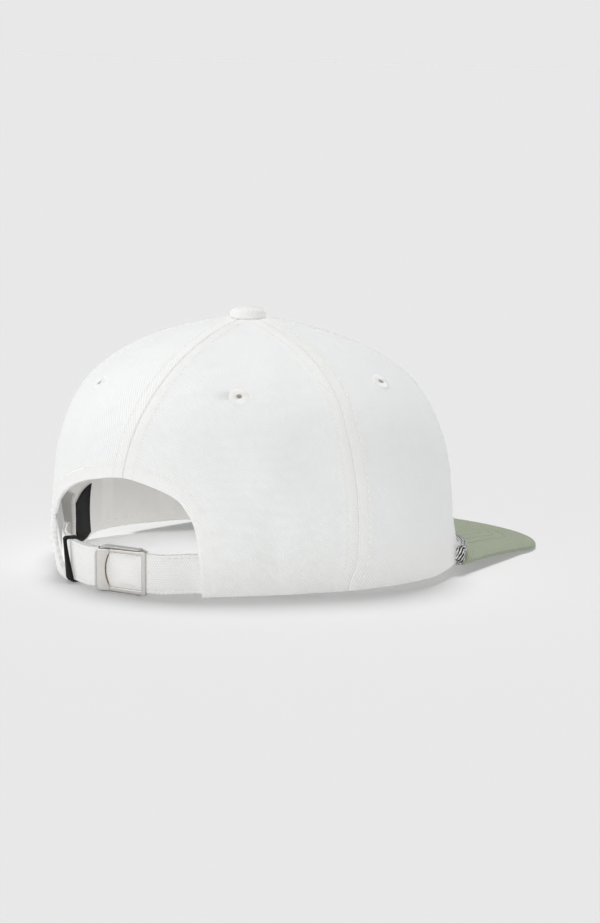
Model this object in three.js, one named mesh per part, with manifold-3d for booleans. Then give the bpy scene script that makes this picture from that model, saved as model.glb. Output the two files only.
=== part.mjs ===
// Rope cap: a five-panel cotton cap with a flat brim, a rope along the brim and a strap with a metal clasp.
// Millimetres, +Z up. The brim points to -Y and the wearer's right is -X.
// The cap stands by itself: on the edge of its opening at the back and on the tip of its brim.
import * as THREE from 'three';
import { mergeVertices } from 'three/addons/utils/BufferGeometryUtils.js';
import Module from 'manifold-3d';

const wasm = await Module();
wasm.setup();

// Angles go round the crown in degrees: 0 is the middle of the back, 90 the wearer's right, 180 the front.
// Heights are measured from the plane of the crown's lower edge.

// Crown
const crownHeight = 107.4;
const crownRadius = 89.9;
const crownWall = 1.6;
const planWaves = [
  { turns: 2, share: 0.010 },
  { turns: 3, share: 0.024 },
  { turns: 4, share: 0.030 },
];
const domeFullness = 4.5;
const domeRounding = 1.54;
const buttonSetBack = -1.7;
const backTuck = { share: 0.04, reach: 29 };
const frontFlare = { share: 0.045, reach: 64 };
const seamGap = 0.3;
const crownTopRadiusShare = 0.97;
const crownLevelBelow = 12;

// Seams of the five panels, and the eyelet of each side and back panel
const seamAngles = { back: 0, side: 67, front: 118 };
const eyelets = [
  { name: 'eyelet_back', angle: 31, height: 82.4 },
  { name: 'eyelet_side', angle: 89, height: 84.5 },
];
const eyelet = { outer: 4.5, hole: 1.1, thick: 2.2, clearance: 0.3, sides: 16, cutter: 12 };

// Dents and folds of the cloth: where each lies, how far it spreads, and how deep it goes inwards
const folds = [
  { angle: 31, height: 57, spread: 9, tall: 20, depth: 1.5 },
  { angle: 53, height: 54, spread: 8, tall: 17, depth: 1.3 },
  { angle: 47, height: 91, spread: 7, tall: 9, depth: -0.9 },
  { angle: 42, height: 14, spread: 4, tall: 18, depth: 1.2 },
  { angle: 10, height: 60, spread: 6, tall: 6, depth: 0.9 },
  { angle: 104, height: 24, spread: 6, tall: 22, depth: 1.6 },
  { angle: 124, height: 66, spread: 26, tall: 14, depth: 1.0 },
  { angle: -30, height: 12, spread: 14, tall: 26, depth: -4.2 },
  { angle: -54, height: 5, spread: 16, tall: 14, depth: 1.3 },
  { angle: -58, height: 66, spread: 12, tall: 16, depth: 1.4 },
  { angle: -98, height: 30, spread: 8, tall: 24, depth: 1.5 },
  { angle: -128, height: 70, spread: 20, tall: 16, depth: 1.1 },
  { angle: 148, height: 95, spread: 24, tall: 12, depth: 2.4 },
  { angle: 127, height: 0, spread: 13, tall: 14, depth: -2.9 },
];

// Where the seams leave their straight course: how many degrees the cloth is turned round the crown
const drifts = [
  { angle: 0, height: 100, spread: 18, tall: 36, turn: 3.6 },
  { angle: 67, height: 0, spread: 12, tall: 10, turn: -2.4 },
  { angle: 67, height: 66, spread: 14, tall: 20, turn: -1.1 },
];

// Opening at the back: how far it reaches to the wearer's left and right at each height
const openingRows = [
  { height: 0, left: 36, right: 33 },
  { height: 8, left: 41, right: 33.4 },
  { height: 19, left: 45.5, right: 33.4 },
  { height: 30, left: 46, right: 32 },
  { height: 37, left: 40, right: 28.8 },
  { height: 42, left: 32, right: 24.7 },
  { height: 46.4, left: 19, right: 15.5 },
];
const openingTop = 49.4;

// Brim
const brimThick = 3.2;
const brimEndAngle = 113;
const brimDrop = 0.14;
const brimGap = 0.35;
const brimSide = { x: 83.3, y: -102.6 };
const brimEnd = { x: 89.6, y: -39 };
const brimCornerPull = { x: 86.9, y: -135.3 };
const brimFrontPull = { x: 54.9, y: -153.5 };
const brimTip = -153.5;

// Rope along the joint of brim and crown
const ropeRadius = 2.15;
const ropeGap = 0.3;
const ropeTurnAngle = 116;
const ropeEndRows = [
  { angle: 111.2, height: 2.5 },
  { angle: 111.2, height: 3.6 },
  { angle: 112.2, height: 6.2 },
];

// Button
const button = { radius: 7.8, tall: 4.4, lift: 0.35 };

// Sweatband: it leaves room for the straps near its ends, and one stretch of it stands off the wall
const sweatband = { thick: 1.2, low: 0.6, high: 30, endAngle: 33, inset: 2.15, strapInset: 5.8 };
const strapRoom = { from: 50, to: 62 };
const sweatbandFold = { angle: -76, spread: 15, low: 7, high: 1.5 };
const label = { near: -70, far: -91, farLow: -80, low: 2.5, high: 24.5, nearHigh: 15.5, thick: 0.7, gap: 0.4 };

// Strap, clasp and keeper. The clasp lies flat across the back; across is +X, out is +Y.
const strap = { thick: 1.3, width: 16.8, inset: 2.8, height: 9.6, lift: 0.4 };
const clasp = { x: -1.2, y: 93.3, z: 10.4, length: 25.2 };
const strapRight = [
  { across: -29.6, back: 81.5 },
  { across: -24, back: 86.5 },
  { across: -18.2, back: 90.9 },
];
const strapLeft = [
  { across: 17.5, back: 92.2 },
  { across: 24.5, back: 89.4 },
  { across: 31, back: 86 },
];
const strapStraight = [-12.5, -8, -3, 3, 8, 12.5];
const strapHidden = { right: [44, 36, 29, 23.5], left: [-24.5, -27, -30, -36, -42, -49] };
const shortStrap = { behind: 1.65, underClasp: 2.75, overlap: 10 };
const windowBulge = { rise: 1.3, halfWidth: 6.6 };
const leverRail = 1.8;
const leverBar = 2;
const leverHalf = 9.2;
const leverThick = 1.3;
const leverSeat = 1.2;
const leverTaper = { top: 0.7, bottom: 0.1, corner: 3.2, small: 0.6 };
const plate = { wide: 7, narrow: 1.7, bow: 16, crown: 4.2, thick: 1.1, lift: 0.4, rim: 1.3, step: 0.5 };
const pin = { radius: 0.5, clearance: 0.3, out: 2.4, eye: 1.45 };
const base = {
  floor: 0.8,
  floorGap: 0.3,
  flange: 0.4,
  flangeGap: 0.2,
  flangeTop: 3.3,
  slope: 1.2,
  short: 1.5,
  past: 1,
};
const keeper = { across: 32.2, width: 6, inner: 4.0, wall: 0.8, tall: 17.4 };

const clothWhite = { color: 0xf1f1ee, roughness: 0.95, metalness: 0 };
const webbingWhite = { color: 0xf4f4f0, roughness: 0.9, metalness: 0 };
const brimGreen = { color: 0xa0a891, roughness: 0.9, metalness: 0 };
const ropeGrey = { color: 0x6a6a6e, roughness: 0.85, metalness: 0 };
const wovenBlack = { color: 0x16161a, roughness: 0.85, metalness: 0 };
const nickel = { color: 0xa7a49c, roughness: 0.35, metalness: 1 };

const radians = THREE.MathUtils.degToRad;
const smoothstep = THREE.MathUtils.smoothstep;

// Shape of the crown

// The sum of bumps that fade out round the crown and upwards
function bumpsAt(bumps, measure, angle, height) {
  let total = 0;
  for (const bump of bumps) {
    const turned = (angle - bump.angle) / bump.spread;
    const raised = (height - bump.height) / bump.tall;
    total += bump[measure] * Math.exp(-turned * turned - raised * raised);
  }
  return total;
}

function planRadius(angle) {
  let share = 1;
  for (const wave of planWaves) share += wave.share * Math.cos(wave.turns * radians(angle));
  return crownRadius * share;
}

// A change of radius that is full at the lower edge on one side and fades out upwards and round the crown
function edgeShare(change, height, facing) {
  const fade = Math.max(0, 1 - height / change.reach);
  return change.share * Math.pow((1 + facing) / 2, 1.5) * fade * fade;
}

function crownPoint(angle, height) {
  const signed = angle > 180 ? angle - 360 : angle;
  const drifted = signed + bumpsAt(drifts, 'turn', signed, height);
  const turn = radians(drifted);
  const rise = Math.min(height / crownHeight, 1);
  const dome = Math.pow(1 - Math.pow(rise, domeFullness), 1 / domeRounding);
  const tuck = edgeShare(backTuck, height, Math.cos(turn));
  const flare = edgeShare(frontFlare, height, -Math.cos(turn));
  const fold = bumpsAt(folds, 'depth', drifted, height) * Math.min(1, 2 * dome);
  const radius = planRadius(drifted) * dome * (1 - tuck + flare) - fold;
  return new THREE.Vector3(
    -radius * Math.sin(turn),
    radius * Math.cos(turn) + buttonSetBack * rise * rise,
    height,
  );
}

function crownNormal(angle, height) {
  const step = 0.5;
  const low = Math.max(0, height - step);
  const round = crownPoint(angle + step, height).sub(crownPoint(angle - step, height));
  const up = crownPoint(angle, low + 2 * step).sub(crownPoint(angle, low));
  return round.cross(up).normalize();
}

// A point under the crown's surface, moved inwards level with the ground near the lower edge
function crownInside(angle, height, inset) {
  const normal = crownNormal(angle, height);
  normal.z *= smoothstep(height, 0, crownLevelBelow);
  return crownPoint(angle, height).addScaledVector(normal.normalize(), -inset);
}

// A closed wall between two grids of points. Seen from outside, columns go left to right and rows go up.
function wallGeometry(outer, inner) {
  const columns = outer.length;
  const rows = outer[0].length;
  const positions = [...outer.flat(), ...inner.flat()].flatMap((point) => point.toArray());
  const out = (i, j) => i * rows + j;
  const back = (i, j) => columns * rows + i * rows + j;
  const index = [];
  const quad = (a, b, c, d) => index.push(a, b, c, a, c, d);
  for (let i = 0; i + 1 < columns; i += 1) {
    for (let j = 0; j + 1 < rows; j += 1) {
      quad(out(i, j), out(i + 1, j), out(i + 1, j + 1), out(i, j + 1));
      quad(back(i, j), back(i, j + 1), back(i + 1, j + 1), back(i + 1, j));
    }
    quad(out(i + 1, 0), out(i, 0), back(i, 0), back(i + 1, 0));
    quad(out(i, rows - 1), out(i + 1, rows - 1), back(i + 1, rows - 1), back(i, rows - 1));
  }
  for (let j = 0; j + 1 < rows; j += 1) {
    quad(out(0, j), out(0, j + 1), back(0, j + 1), back(0, j));
    quad(out(columns - 1, j + 1), out(columns - 1, j), back(columns - 1, j), back(columns - 1, j + 1));
  }
  const geometry = new THREE.BufferGeometry();
  geometry.setAttribute('position', new THREE.Float32BufferAttribute(positions, 3));
  geometry.setIndex(index);
  return geometry;
}

// Joins and cuts

function toSolid(geometry) {
  const bare = geometry.clone();
  bare.deleteAttribute('normal');
  bare.deleteAttribute('uv');
  const merged = mergeVertices(bare, 1e-4);
  const mesh = new wasm.Mesh({
    numProp: 3,
    vertProperties: new Float32Array(merged.attributes.position.array),
    triVerts: new Uint32Array(merged.index.array),
  });
  return new wasm.Manifold(mesh);
}

function toGeometry(solid) {
  const mesh = solid.getMesh();
  const geometry = new THREE.BufferGeometry();
  geometry.setAttribute('position', new THREE.Float32BufferAttribute(mesh.vertProperties, 3));
  geometry.setIndex(Array.from(mesh.triVerts));
  return geometry;
}

function cut(geometry, ...cutters) {
  return toGeometry(cutters.reduce((solid, cutter) => solid.subtract(toSolid(cutter)), toSolid(geometry)));
}

function kept(geometry, within) {
  return toGeometry(toSolid(geometry).intersect(toSolid(within)));
}

function join(...geometries) {
  return toGeometry(geometries.map(toSolid).reduce((whole, piece) => whole.add(piece)));
}

function mesh(name, geometry, finish) {
  const clean = geometry.index ? geometry : mergeVertices(geometry);
  clean.computeVertexNormals();
  const piece = new THREE.Mesh(clean, new THREE.MeshStandardMaterial(finish));
  piece.name = name;
  return piece;
}

// A copy of a geometry turned so that its Y axis points along a direction, and moved to a place
function aimed(geometry, direction, place) {
  const turn = new THREE.Quaternion().setFromUnitVectors(new THREE.Vector3(0, 1, 0), direction);
  return geometry.clone().applyQuaternion(turn).translate(place.x, place.y, place.z);
}

// Crown panels

function panelGeometry(from, to, columns, rows) {
  const outer = [];
  const inner = [];
  for (let i = 0; i <= columns; i += 1) {
    const angle = THREE.MathUtils.lerp(from, to, i / columns);
    const side = i === 0 ? 1 : i === columns ? -1 : 0;
    const outerColumn = [];
    const innerColumn = [];
    for (let j = 0; j <= rows; j += 1) {
      const left = 1 - (crownTopRadiusShare * j) / rows;
      const height = crownHeight * (1 - left * left);
      const turn = radians(angle);
      const apart = new THREE.Vector3(-Math.cos(turn), -Math.sin(turn), 0).multiplyScalar((side * seamGap) / 2);
      outerColumn.push(crownPoint(angle, height).add(apart));
      innerColumn.push(crownInside(angle, height, crownWall).add(apart));
    }
    outer.push(outerColumn);
    inner.push(innerColumn);
  }
  return wallGeometry(outer, inner);
}

// The opening as a solid that reaches through the back of the crown
function openingCutter() {
  const below = 5;
  const outline = [
    ...openingRows.map((row) => new THREE.Vector2(row.left, row.height)),
    new THREE.Vector2(0, openingTop),
    ...openingRows.map((row) => new THREE.Vector2(-row.right, row.height)).reverse(),
  ];
  const curve = new THREE.SplineCurve(outline);
  const shape = new THREE.Shape([
    new THREE.Vector2(-openingRows[0].right, -below),
    new THREE.Vector2(openingRows[0].left, -below),
    ...curve.getPoints(40),
  ]);
  const depth = 90;
  return new THREE.ExtrudeGeometry(shape, { depth, bevelEnabled: false, curveSegments: 1 })
    .rotateX(Math.PI / 2)
    .translate(0, crownRadius + depth / 3, 0);
}

function eyeletSpots(side) {
  return eyelets.map((spot) => ({
    name: `${spot.name}_${side > 0 ? 'right' : 'left'}`,
    place: crownInside(side * spot.angle, spot.height, crownWall / 2),
    normal: crownNormal(side * spot.angle, spot.height),
  }));
}

function eyeletHole(spot) {
  const radius = eyelet.outer + eyelet.clearance;
  return aimed(new THREE.CylinderGeometry(radius, radius, eyelet.cutter, eyelet.sides), spot.normal, spot.place);
}

function eyeletRing(spot) {
  const middle = (eyelet.outer + eyelet.hole) / 2;
  const half = (eyelet.outer - eyelet.hole) / 2;
  const profile = [
    new THREE.Vector2(eyelet.hole, -0.5),
    new THREE.Vector2(middle, -1),
    new THREE.Vector2(eyelet.outer, -0.5),
    new THREE.Vector2(eyelet.outer, 0.5),
    new THREE.Vector2(middle + half / 3, 1),
    new THREE.Vector2(middle - half / 3, 1),
    new THREE.Vector2(eyelet.hole, 0.5),
    new THREE.Vector2(eyelet.hole, -0.5),
  ].map((point) => new THREE.Vector2(point.x, (point.y * eyelet.thick) / 2));
  return aimed(new THREE.LatheGeometry(profile, eyelet.sides), spot.normal, spot.place);
}

function addCrown(cap) {
  const front = panelGeometry(seamAngles.front, 360 - seamAngles.front, 18, 13);
  cap.add(mesh('front_panel', front, clothWhite));
  for (const side of [1, -1]) {
    const hand = side > 0 ? 'right' : 'left';
    const [backSpot, sideSpot] = eyeletSpots(side);
    const ends = side > 0 ? [seamAngles.back, seamAngles.side] : [-seamAngles.side, seamAngles.back];
    const backPanel = cut(panelGeometry(...ends, 14, 14), openingCutter(), eyeletHole(backSpot));
    cap.add(mesh(`back_panel_${hand}`, backPanel, clothWhite));
    const sideEnds = side > 0 ? [seamAngles.side, seamAngles.front] : [-seamAngles.front, -seamAngles.side];
    const sidePanel = cut(panelGeometry(...sideEnds, 9, 13), eyeletHole(sideSpot));
    cap.add(mesh(`side_panel_${hand}`, sidePanel, clothWhite));
    for (const spot of [backSpot, sideSpot]) cap.add(mesh(spot.name, eyeletRing(spot), clothWhite));
  }
}

function addButton(cap) {
  const { radius, tall } = button;
  const dome = new THREE.EllipseCurve(0, 0, radius, tall - 1, 0, Math.PI / 2).getPoints(6);
  const profile = [
    new THREE.Vector2(0, 0),
    new THREE.Vector2(radius - 0.8, -0.3),
    ...dome.map((point) => new THREE.Vector2(Math.max(point.x, 0), point.y + 0.4)),
  ];
  profile[profile.length - 1].x = 0;
  const geometry = new THREE.LatheGeometry(profile, 24)
    .rotateX(Math.PI / 2)
    .translate(0, buttonSetBack, crownHeight + button.lift);
  cap.add(mesh('button', geometry, clothWhite));
}

// Brim and rope

// The brim's outer edge from its end on the wearer's right to its tip
function brimHalfEdge() {
  const sideEnd = new THREE.Vector2(-brimSide.x, brimSide.y);
  const side = new THREE.LineCurve(new THREE.Vector2(-brimEnd.x, brimEnd.y), sideEnd);
  const corner = new THREE.CubicBezierCurve(
    sideEnd,
    new THREE.Vector2(-brimCornerPull.x, brimCornerPull.y),
    new THREE.Vector2(-brimFrontPull.x, brimFrontPull.y),
    new THREE.Vector2(0, brimTip),
  );
  const path = new THREE.CurvePath();
  path.add(side);
  path.add(corner);
  return path;
}

function brimEdgePoint(share) {
  const half = brimHalfEdge();
  const point = half.getPointAt(Math.min(1, share < 0.5 ? 2 * share : 2 - 2 * share));
  return new THREE.Vector2(share < 0.5 ? point.x : -point.x, point.y);
}

function brimUnderside(point) {
  const angle = THREE.MathUtils.radToDeg(Math.atan2(-point.x, point.y));
  const rim = crownPoint(angle, 0);
  const away = Math.hypot(point.x, point.y) - Math.hypot(rim.x, rim.y);
  return -brimDrop * Math.max(0, away);
}

function addBrim(cap) {
  const columns = 40;
  const rows = 4;
  const under = [];
  const top = [];
  for (let i = 0; i <= columns; i += 1) {
    const share = i / columns;
    const angle = THREE.MathUtils.lerp(brimEndAngle, 360 - brimEndAngle, share);
    const start = crownInside(angle, 0, -brimGap);
    const edge = brimEdgePoint(share);
    const underColumn = [];
    const topColumn = [];
    for (let j = 0; j <= rows; j += 1) {
      const flat = new THREE.Vector2(start.x, start.y).lerp(edge, j / rows);
      const low = brimUnderside(flat);
      underColumn.push(new THREE.Vector3(flat.x, flat.y, low));
      topColumn.push(new THREE.Vector3(flat.x, flat.y, low + brimThick));
    }
    under.push(underColumn);
    top.push(topColumn);
  }
  cap.add(mesh('brim', wallGeometry(under, top), brimGreen));
}

function ropePoint(angle, height) {
  return crownInside(angle, height, -(ropeRadius + ropeGap));
}

function addRope(cap) {
  const laid = brimThick + ropeRadius + ropeGap - brimDrop * ropeRadius;
  const rightEnd = ropeEndRows.map((row) => ropePoint(row.angle, row.height));
  const leftEnd = ropeEndRows.map((row) => ropePoint(360 - row.angle, row.height)).reverse();
  const along = [];
  for (let i = 0; i <= 16; i += 1) {
    along.push(ropePoint(THREE.MathUtils.lerp(ropeTurnAngle, 360 - ropeTurnAngle, i / 16), laid));
  }
  const route = smoothRoute([...rightEnd, ...along, ...leftEnd]);
  const section = new THREE.Shape();
  section.absarc(0, 0, ropeRadius, 0, 2 * Math.PI);
  const settings = { steps: 72, bevelEnabled: false, curveSegments: 4, extrudePath: route };
  cap.add(mesh('rope', new THREE.ExtrudeGeometry(section, settings), ropeGrey));
}

// Sweatband and label

// The band follows the wall, stands off it in one fold, and hangs straight down inside the straps
function bandPoint(angle, height, further) {
  const signed = angle > 180 ? angle - 360 : angle;
  const room = 1 - smoothstep(Math.abs(signed), strapRoom.from, strapRoom.to);
  const turned = (signed - sweatbandFold.angle) / sweatbandFold.spread;
  const off = THREE.MathUtils.lerp(sweatbandFold.low, sweatbandFold.high, height / sweatband.high);
  const onWall = crownInside(angle, height, sweatband.inset + off * Math.exp(-turned * turned) + further);
  const byStrap = crownInside(angle, sweatband.low, sweatband.strapInset + further).setZ(height);
  return onWall.lerp(byStrap, room);
}

// A strip of cloth inside the crown between two angles and heights, set further in than the band's outer face
function innerStrip(from, to, low, high, columns, rows, start, thick) {
  const outer = [];
  const inner = [];
  for (let i = 0; i <= columns; i += 1) {
    const angle = THREE.MathUtils.lerp(from, to, i / columns);
    const heights = Array.from({ length: rows + 1 }, (_, j) => THREE.MathUtils.lerp(low, high, j / rows));
    outer.push(heights.map((height) => bandPoint(angle, height, start)));
    inner.push(heights.map((height) => bandPoint(angle, height, start + thick)));
  }
  return wallGeometry(outer, inner);
}

// The label lies on the band. Its far edge leans, and its near end is lower, where the hem of the opening covers it.
function labelPatch() {
  const columns = 8;
  const rows = 4;
  const start = sweatband.thick + label.gap;
  const outer = [];
  const inner = [];
  for (let i = 0; i <= columns; i += 1) {
    const across = i / columns;
    const top = THREE.MathUtils.lerp(label.high, label.nearHigh, across);
    const spots = Array.from({ length: rows + 1 }, (_, j) => [
      THREE.MathUtils.lerp(THREE.MathUtils.lerp(label.farLow, label.far, j / rows), label.near, across),
      THREE.MathUtils.lerp(label.low, top, j / rows),
    ]);
    outer.push(spots.map(([angle, height]) => bandPoint(angle, height, start)));
    inner.push(spots.map(([angle, height]) => bandPoint(angle, height, start + label.thick)));
  }
  return wallGeometry(outer, inner);
}

function addSweatband(cap) {
  const { endAngle, low, high, thick } = sweatband;
  cap.add(mesh('sweatband', innerStrip(endAngle, 360 - endAngle, low, high, 46, 2, 0, thick), clothWhite));
  cap.add(mesh('inner_label', labelPatch(), wovenBlack));
}

// Straps, keeper and clasp

function smoothRoute(points) {
  return new THREE.CatmullRomCurve3(points, false, 'centripetal');
}

// The direction away from the head, square to a route
function outwards(along) {
  return new THREE.Vector3(-along.y, along.x, 0).normalize();
}

// The long strap's middle line, in three stretches
function strapRoute() {
  const low = strap.height - strap.width / 2;
  const hidden = (angle) => crownInside(angle, low, strap.inset).setZ(strap.height);
  const seen = (row) => new THREE.Vector3(row.across, row.back, strap.height + strap.lift);
  const straight = (across) => new THREE.Vector3(clasp.x + across, clasp.y, clasp.z);
  return {
    right: [...strapHidden.right.map(hidden), ...strapRight.map(seen)],
    middle: strapStraight.map(straight),
    left: [...strapLeft.map(seen), ...strapHidden.left.map(hidden)],
  };
}

// Points of the left stretch of the long strap, moved towards the head
function leftBehind(behind) {
  const route = smoothRoute(strapRoute().left);
  const steps = 24;
  return Array.from({ length: steps + 1 }, (_, i) =>
    route.getPointAt(i / steps).addScaledVector(outwards(route.getTangentAt(i / steps)), -behind),
  );
}

// A flat strap along a route, with its width upright. The rise of its middle is a function of place and height.
function strapGeometry(points, columns, shares, rise) {
  const route = smoothRoute(points);
  const outer = [];
  const inner = [];
  for (let i = 0; i <= columns; i += 1) {
    const middle = route.getPointAt(i / columns);
    const out = outwards(route.getTangentAt(i / columns));
    const row = (side) =>
      shares.map((share) => {
        const up = (share * strap.width) / 2;
        return middle
          .clone()
          .addScaledVector(out, (side * strap.thick) / 2 + rise(middle.x, up))
          .add(new THREE.Vector3(0, 0, up));
      });
    outer.push(row(1));
    inner.push(row(-1));
  }
  outer.reverse();
  inner.reverse();
  return wallGeometry(outer, inner);
}

// The long strap swells through the window of the clasp
function bulge(x, up) {
  const open = clasp.length / 2 - leverBar;
  const along = THREE.MathUtils.clamp((x - clasp.x + open) / (2 * open - plate.wide + leverBar), 0, 1);
  const across = Math.max(0, 1 - Math.pow(up / windowBulge.halfWidth, 4));
  return windowBulge.rise * Math.sin(Math.PI * along) ** 1.5 * across;
}

function addStraps(cap) {
  const long = strapRoute();
  const longPoints = [...long.right, ...long.middle, ...long.left];
  cap.add(mesh('strap_long', strapGeometry(longPoints, 52, [-1, -0.8, -0.5, 0.5, 0.8, 1], bulge), webbingWhite));
  const under = (across) => new THREE.Vector3(clasp.x + across, clasp.y - shortStrap.underClasp, clasp.z);
  const end = clasp.length / 2;
  const shortPoints = [under(end - shortStrap.overlap), under(end - 2), ...leftBehind(shortStrap.behind)];
  cap.add(mesh('strap_short', strapGeometry(shortPoints, 28, [-1, 1], () => 0), webbingWhite));
}

// The loop at the left edge of the opening, round both straps
function addKeeper(cap) {
  const { inner, wall, tall, width } = keeper;
  const half = { out: inner / 2 + wall, up: tall / 2 + wall };
  const frame = new THREE.Shape([
    new THREE.Vector2(-half.out, -half.up),
    new THREE.Vector2(half.out, -half.up),
    new THREE.Vector2(half.out, half.up),
    new THREE.Vector2(-half.out, half.up),
  ]);
  frame.holes.push(
    new THREE.Path([
      new THREE.Vector2(-inner / 2, -tall / 2),
      new THREE.Vector2(-inner / 2, tall / 2),
      new THREE.Vector2(inner / 2, tall / 2),
      new THREE.Vector2(inner / 2, -tall / 2),
    ]),
  );
  const geometry = new THREE.ExtrudeGeometry(frame, { depth: width, bevelEnabled: false })
    .translate(0, 0, -width / 2)
    .applyMatrix4(new THREE.Matrix4().makeBasis(
      new THREE.Vector3(0, 1, 0),
      new THREE.Vector3(0, 0, 1),
      new THREE.Vector3(1, 0, 0),
    ));
  const route = smoothRoute(leftBehind(shortStrap.behind / 2));
  const steps = 200;
  const step = route.getPoints(steps).findIndex((point) => point.x > keeper.across);
  const middle = route.getPoint(step / steps);
  const along = route.getTangent(step / steps);
  geometry.rotateZ(Math.atan2(along.y, along.x)).translate(middle.x, middle.y, middle.z);
  cap.add(mesh('keeper_loop', geometry, wovenBlack));
}

// An outline drawn in across and out, raised from one height to another
function raised(points, from, to) {
  const shape = new THREE.Shape(points.map(([across, out]) => new THREE.Vector2(across, out)));
  return new THREE.ExtrudeGeometry(shape, { depth: to - from, bevelEnabled: false }).translate(0, 0, from);
}

function round(across, out, radius, from, to) {
  return new THREE.CylinderGeometry(radius, radius, to - from, 16)
    .rotateX(Math.PI / 2)
    .translate(across, out, (from + to) / 2);
}

function block(from, to) {
  const size = to.clone().sub(from);
  const middle = to.clone().add(from).multiplyScalar(0.5);
  return new THREE.BoxGeometry(size.x, size.y, size.z).translate(middle.x, middle.y, middle.z);
}

const pinAcross = clasp.length / 2 - pin.eye;

// A channel behind the strap, with a pin between its two flanges for the lever
function claspBase() {
  const end = clasp.length / 2;
  const floorTop = -strap.thick / 2 - base.floorGap;
  const inside = leverHalf + base.flangeGap;
  const right = -end + base.short;
  const left = pinAcross + base.past;
  const floor = block(
    new THREE.Vector3(right, floorTop - base.floor, -inside - base.flange),
    new THREE.Vector3(left, floorTop, inside + base.flange),
  );
  const flanges = [-1, 1].map((side) => {
    const near = side > 0 ? inside : -inside - base.flange;
    return raised(
      [
        [right, floorTop - base.floor],
        [left, floorTop - base.floor],
        [left, base.flangeTop],
        [right, base.flangeTop - base.slope],
      ],
      near,
      near + base.flange,
    );
  });
  const rod = round(pinAcross, pin.out, pin.radius, -inside - base.flange, inside + base.flange);
  return join(floor, ...flanges, rod);
}

// The bowed plate's section: an even band that rises in an arc towards the lever's eye, then a step down to its rim
function plateSection() {
  const steps = 8;
  const end = clasp.length / 2;
  const inner = end - plate.wide;
  const outerSide = [];
  const innerSide = [];
  for (let i = 0; i <= steps; i += 1) {
    const across = THREE.MathUtils.lerp(inner, end - plate.rim, i / steps);
    const rise = Math.sin(((i / steps) * Math.PI) / 2);
    const out = THREE.MathUtils.lerp(leverSeat + leverThick + plate.lift, plate.crown, rise);
    outerSide.push([across, out]);
    innerSide.push([across, out - plate.thick]);
  }
  const rim = [
    [end - plate.rim, plate.crown - plate.step],
    [end, plate.crown - plate.step],
    [end, pin.out],
  ];
  return [...innerSide, ...rim.reverse(), ...outerSide.reverse()];
}

// The lever's outline as seen from behind the cap, as a solid that keeps what lies inside it
function leverOutline() {
  const end = clasp.length / 2;
  const corners = [
    { across: -end, up: leverHalf, radius: leverTaper.small },
    { across: -end, up: -leverHalf, radius: leverTaper.small },
    { across: end, up: leverTaper.bottom - leverHalf, radius: leverTaper.corner },
    { across: end, up: leverHalf - leverTaper.top, radius: leverTaper.corner },
  ];
  const shape = new THREE.Shape();
  corners.forEach((corner, k) => {
    const here = new THREE.Vector2(corner.across, corner.up);
    const towards = (other) => new THREE.Vector2(other.across, other.up).sub(here).normalize();
    const start = here.clone().addScaledVector(towards(corners.at(k - 1)), corner.radius);
    const finish = here.clone().addScaledVector(towards(corners[(k + 1) % corners.length]), corner.radius);
    if (k === 0) shape.moveTo(start.x, start.y);
    else shape.lineTo(start.x, start.y);
    shape.quadraticCurveTo(here.x, here.y, finish.x, finish.y);
  });
  const depth = 12;
  return new THREE.ExtrudeGeometry(shape, { depth, bevelEnabled: false, curveSegments: 6 })
    .rotateX(Math.PI / 2)
    .translate(0, depth / 2, 0);
}

// The lever: a frame whose left end is a wide bowed plate over the pin
function claspLever() {
  const end = clasp.length / 2;
  const rail = { end: pinAcross + 0.2, inner: leverHalf - leverRail };
  const slab = block(
    new THREE.Vector3(-end, leverSeat, -leverHalf),
    new THREE.Vector3(rail.end, leverSeat + leverThick, leverHalf),
  );
  const window = block(
    new THREE.Vector3(-end + leverBar, leverSeat - 1, -rail.inner),
    new THREE.Vector3(rail.end + 1, leverSeat + leverThick + 1, rail.inner),
  );
  const bite = new THREE.CylinderGeometry(plate.bow, plate.bow, 2 * plate.bow, 48)
    .translate(end - plate.wide + plate.narrow - plate.bow, 0, 0);
  const cover = cut(raised(plateSection(), -leverHalf, leverHalf), bite);
  const eye = round(pinAcross, pin.out, pin.eye, -leverHalf, leverHalf);
  const whole = kept(join(cut(slab, window), cover, eye), leverOutline());
  return cut(whole, round(pinAcross, pin.out, pin.radius + pin.clearance, -leverHalf - 1, leverHalf + 1));
}

function addClasp(cap) {
  const holder = new THREE.Group();
  holder.position.set(clasp.x, clasp.y, clasp.z);
  holder.add(mesh('clasp_base', claspBase(), nickel));
  holder.add(mesh('clasp_lever', claspLever(), nickel));
  cap.add(holder);
}

function lowest(piece) {
  return new THREE.Box3().setFromObject(piece, true).min.z;
}

// The cap leans back a little, so that the edge of its opening and the front of its brim both touch the ground
function settle(cap) {
  const heel = cap.getObjectByName('back_panel_right');
  const brim = cap.getObjectByName('brim');
  const apart = crownRadius - brimTip;
  for (let pass = 0; pass < 4; pass += 1) {
    cap.updateMatrixWorld(true);
    cap.rotation.x += (lowest(brim) - lowest(heel)) / apart;
  }
  cap.updateMatrixWorld(true);
  const box = new THREE.Box3().setFromObject(cap, true);
  const middle = box.getCenter(new THREE.Vector3());
  cap.position.set(-middle.x, -middle.y, -box.min.z);
}

const cap = new THREE.Group();
addCrown(cap);
addButton(cap);
addBrim(cap);
addRope(cap);
addSweatband(cap);
addStraps(cap);
addKeeper(cap);
addClasp(cap);
settle(cap);

const group = new THREE.Group();
group.add(cap);

export default group;
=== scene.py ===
import math
from functools import partialmethod
import bpy
import numpy as np
from mathutils import Matrix, Vector


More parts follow.
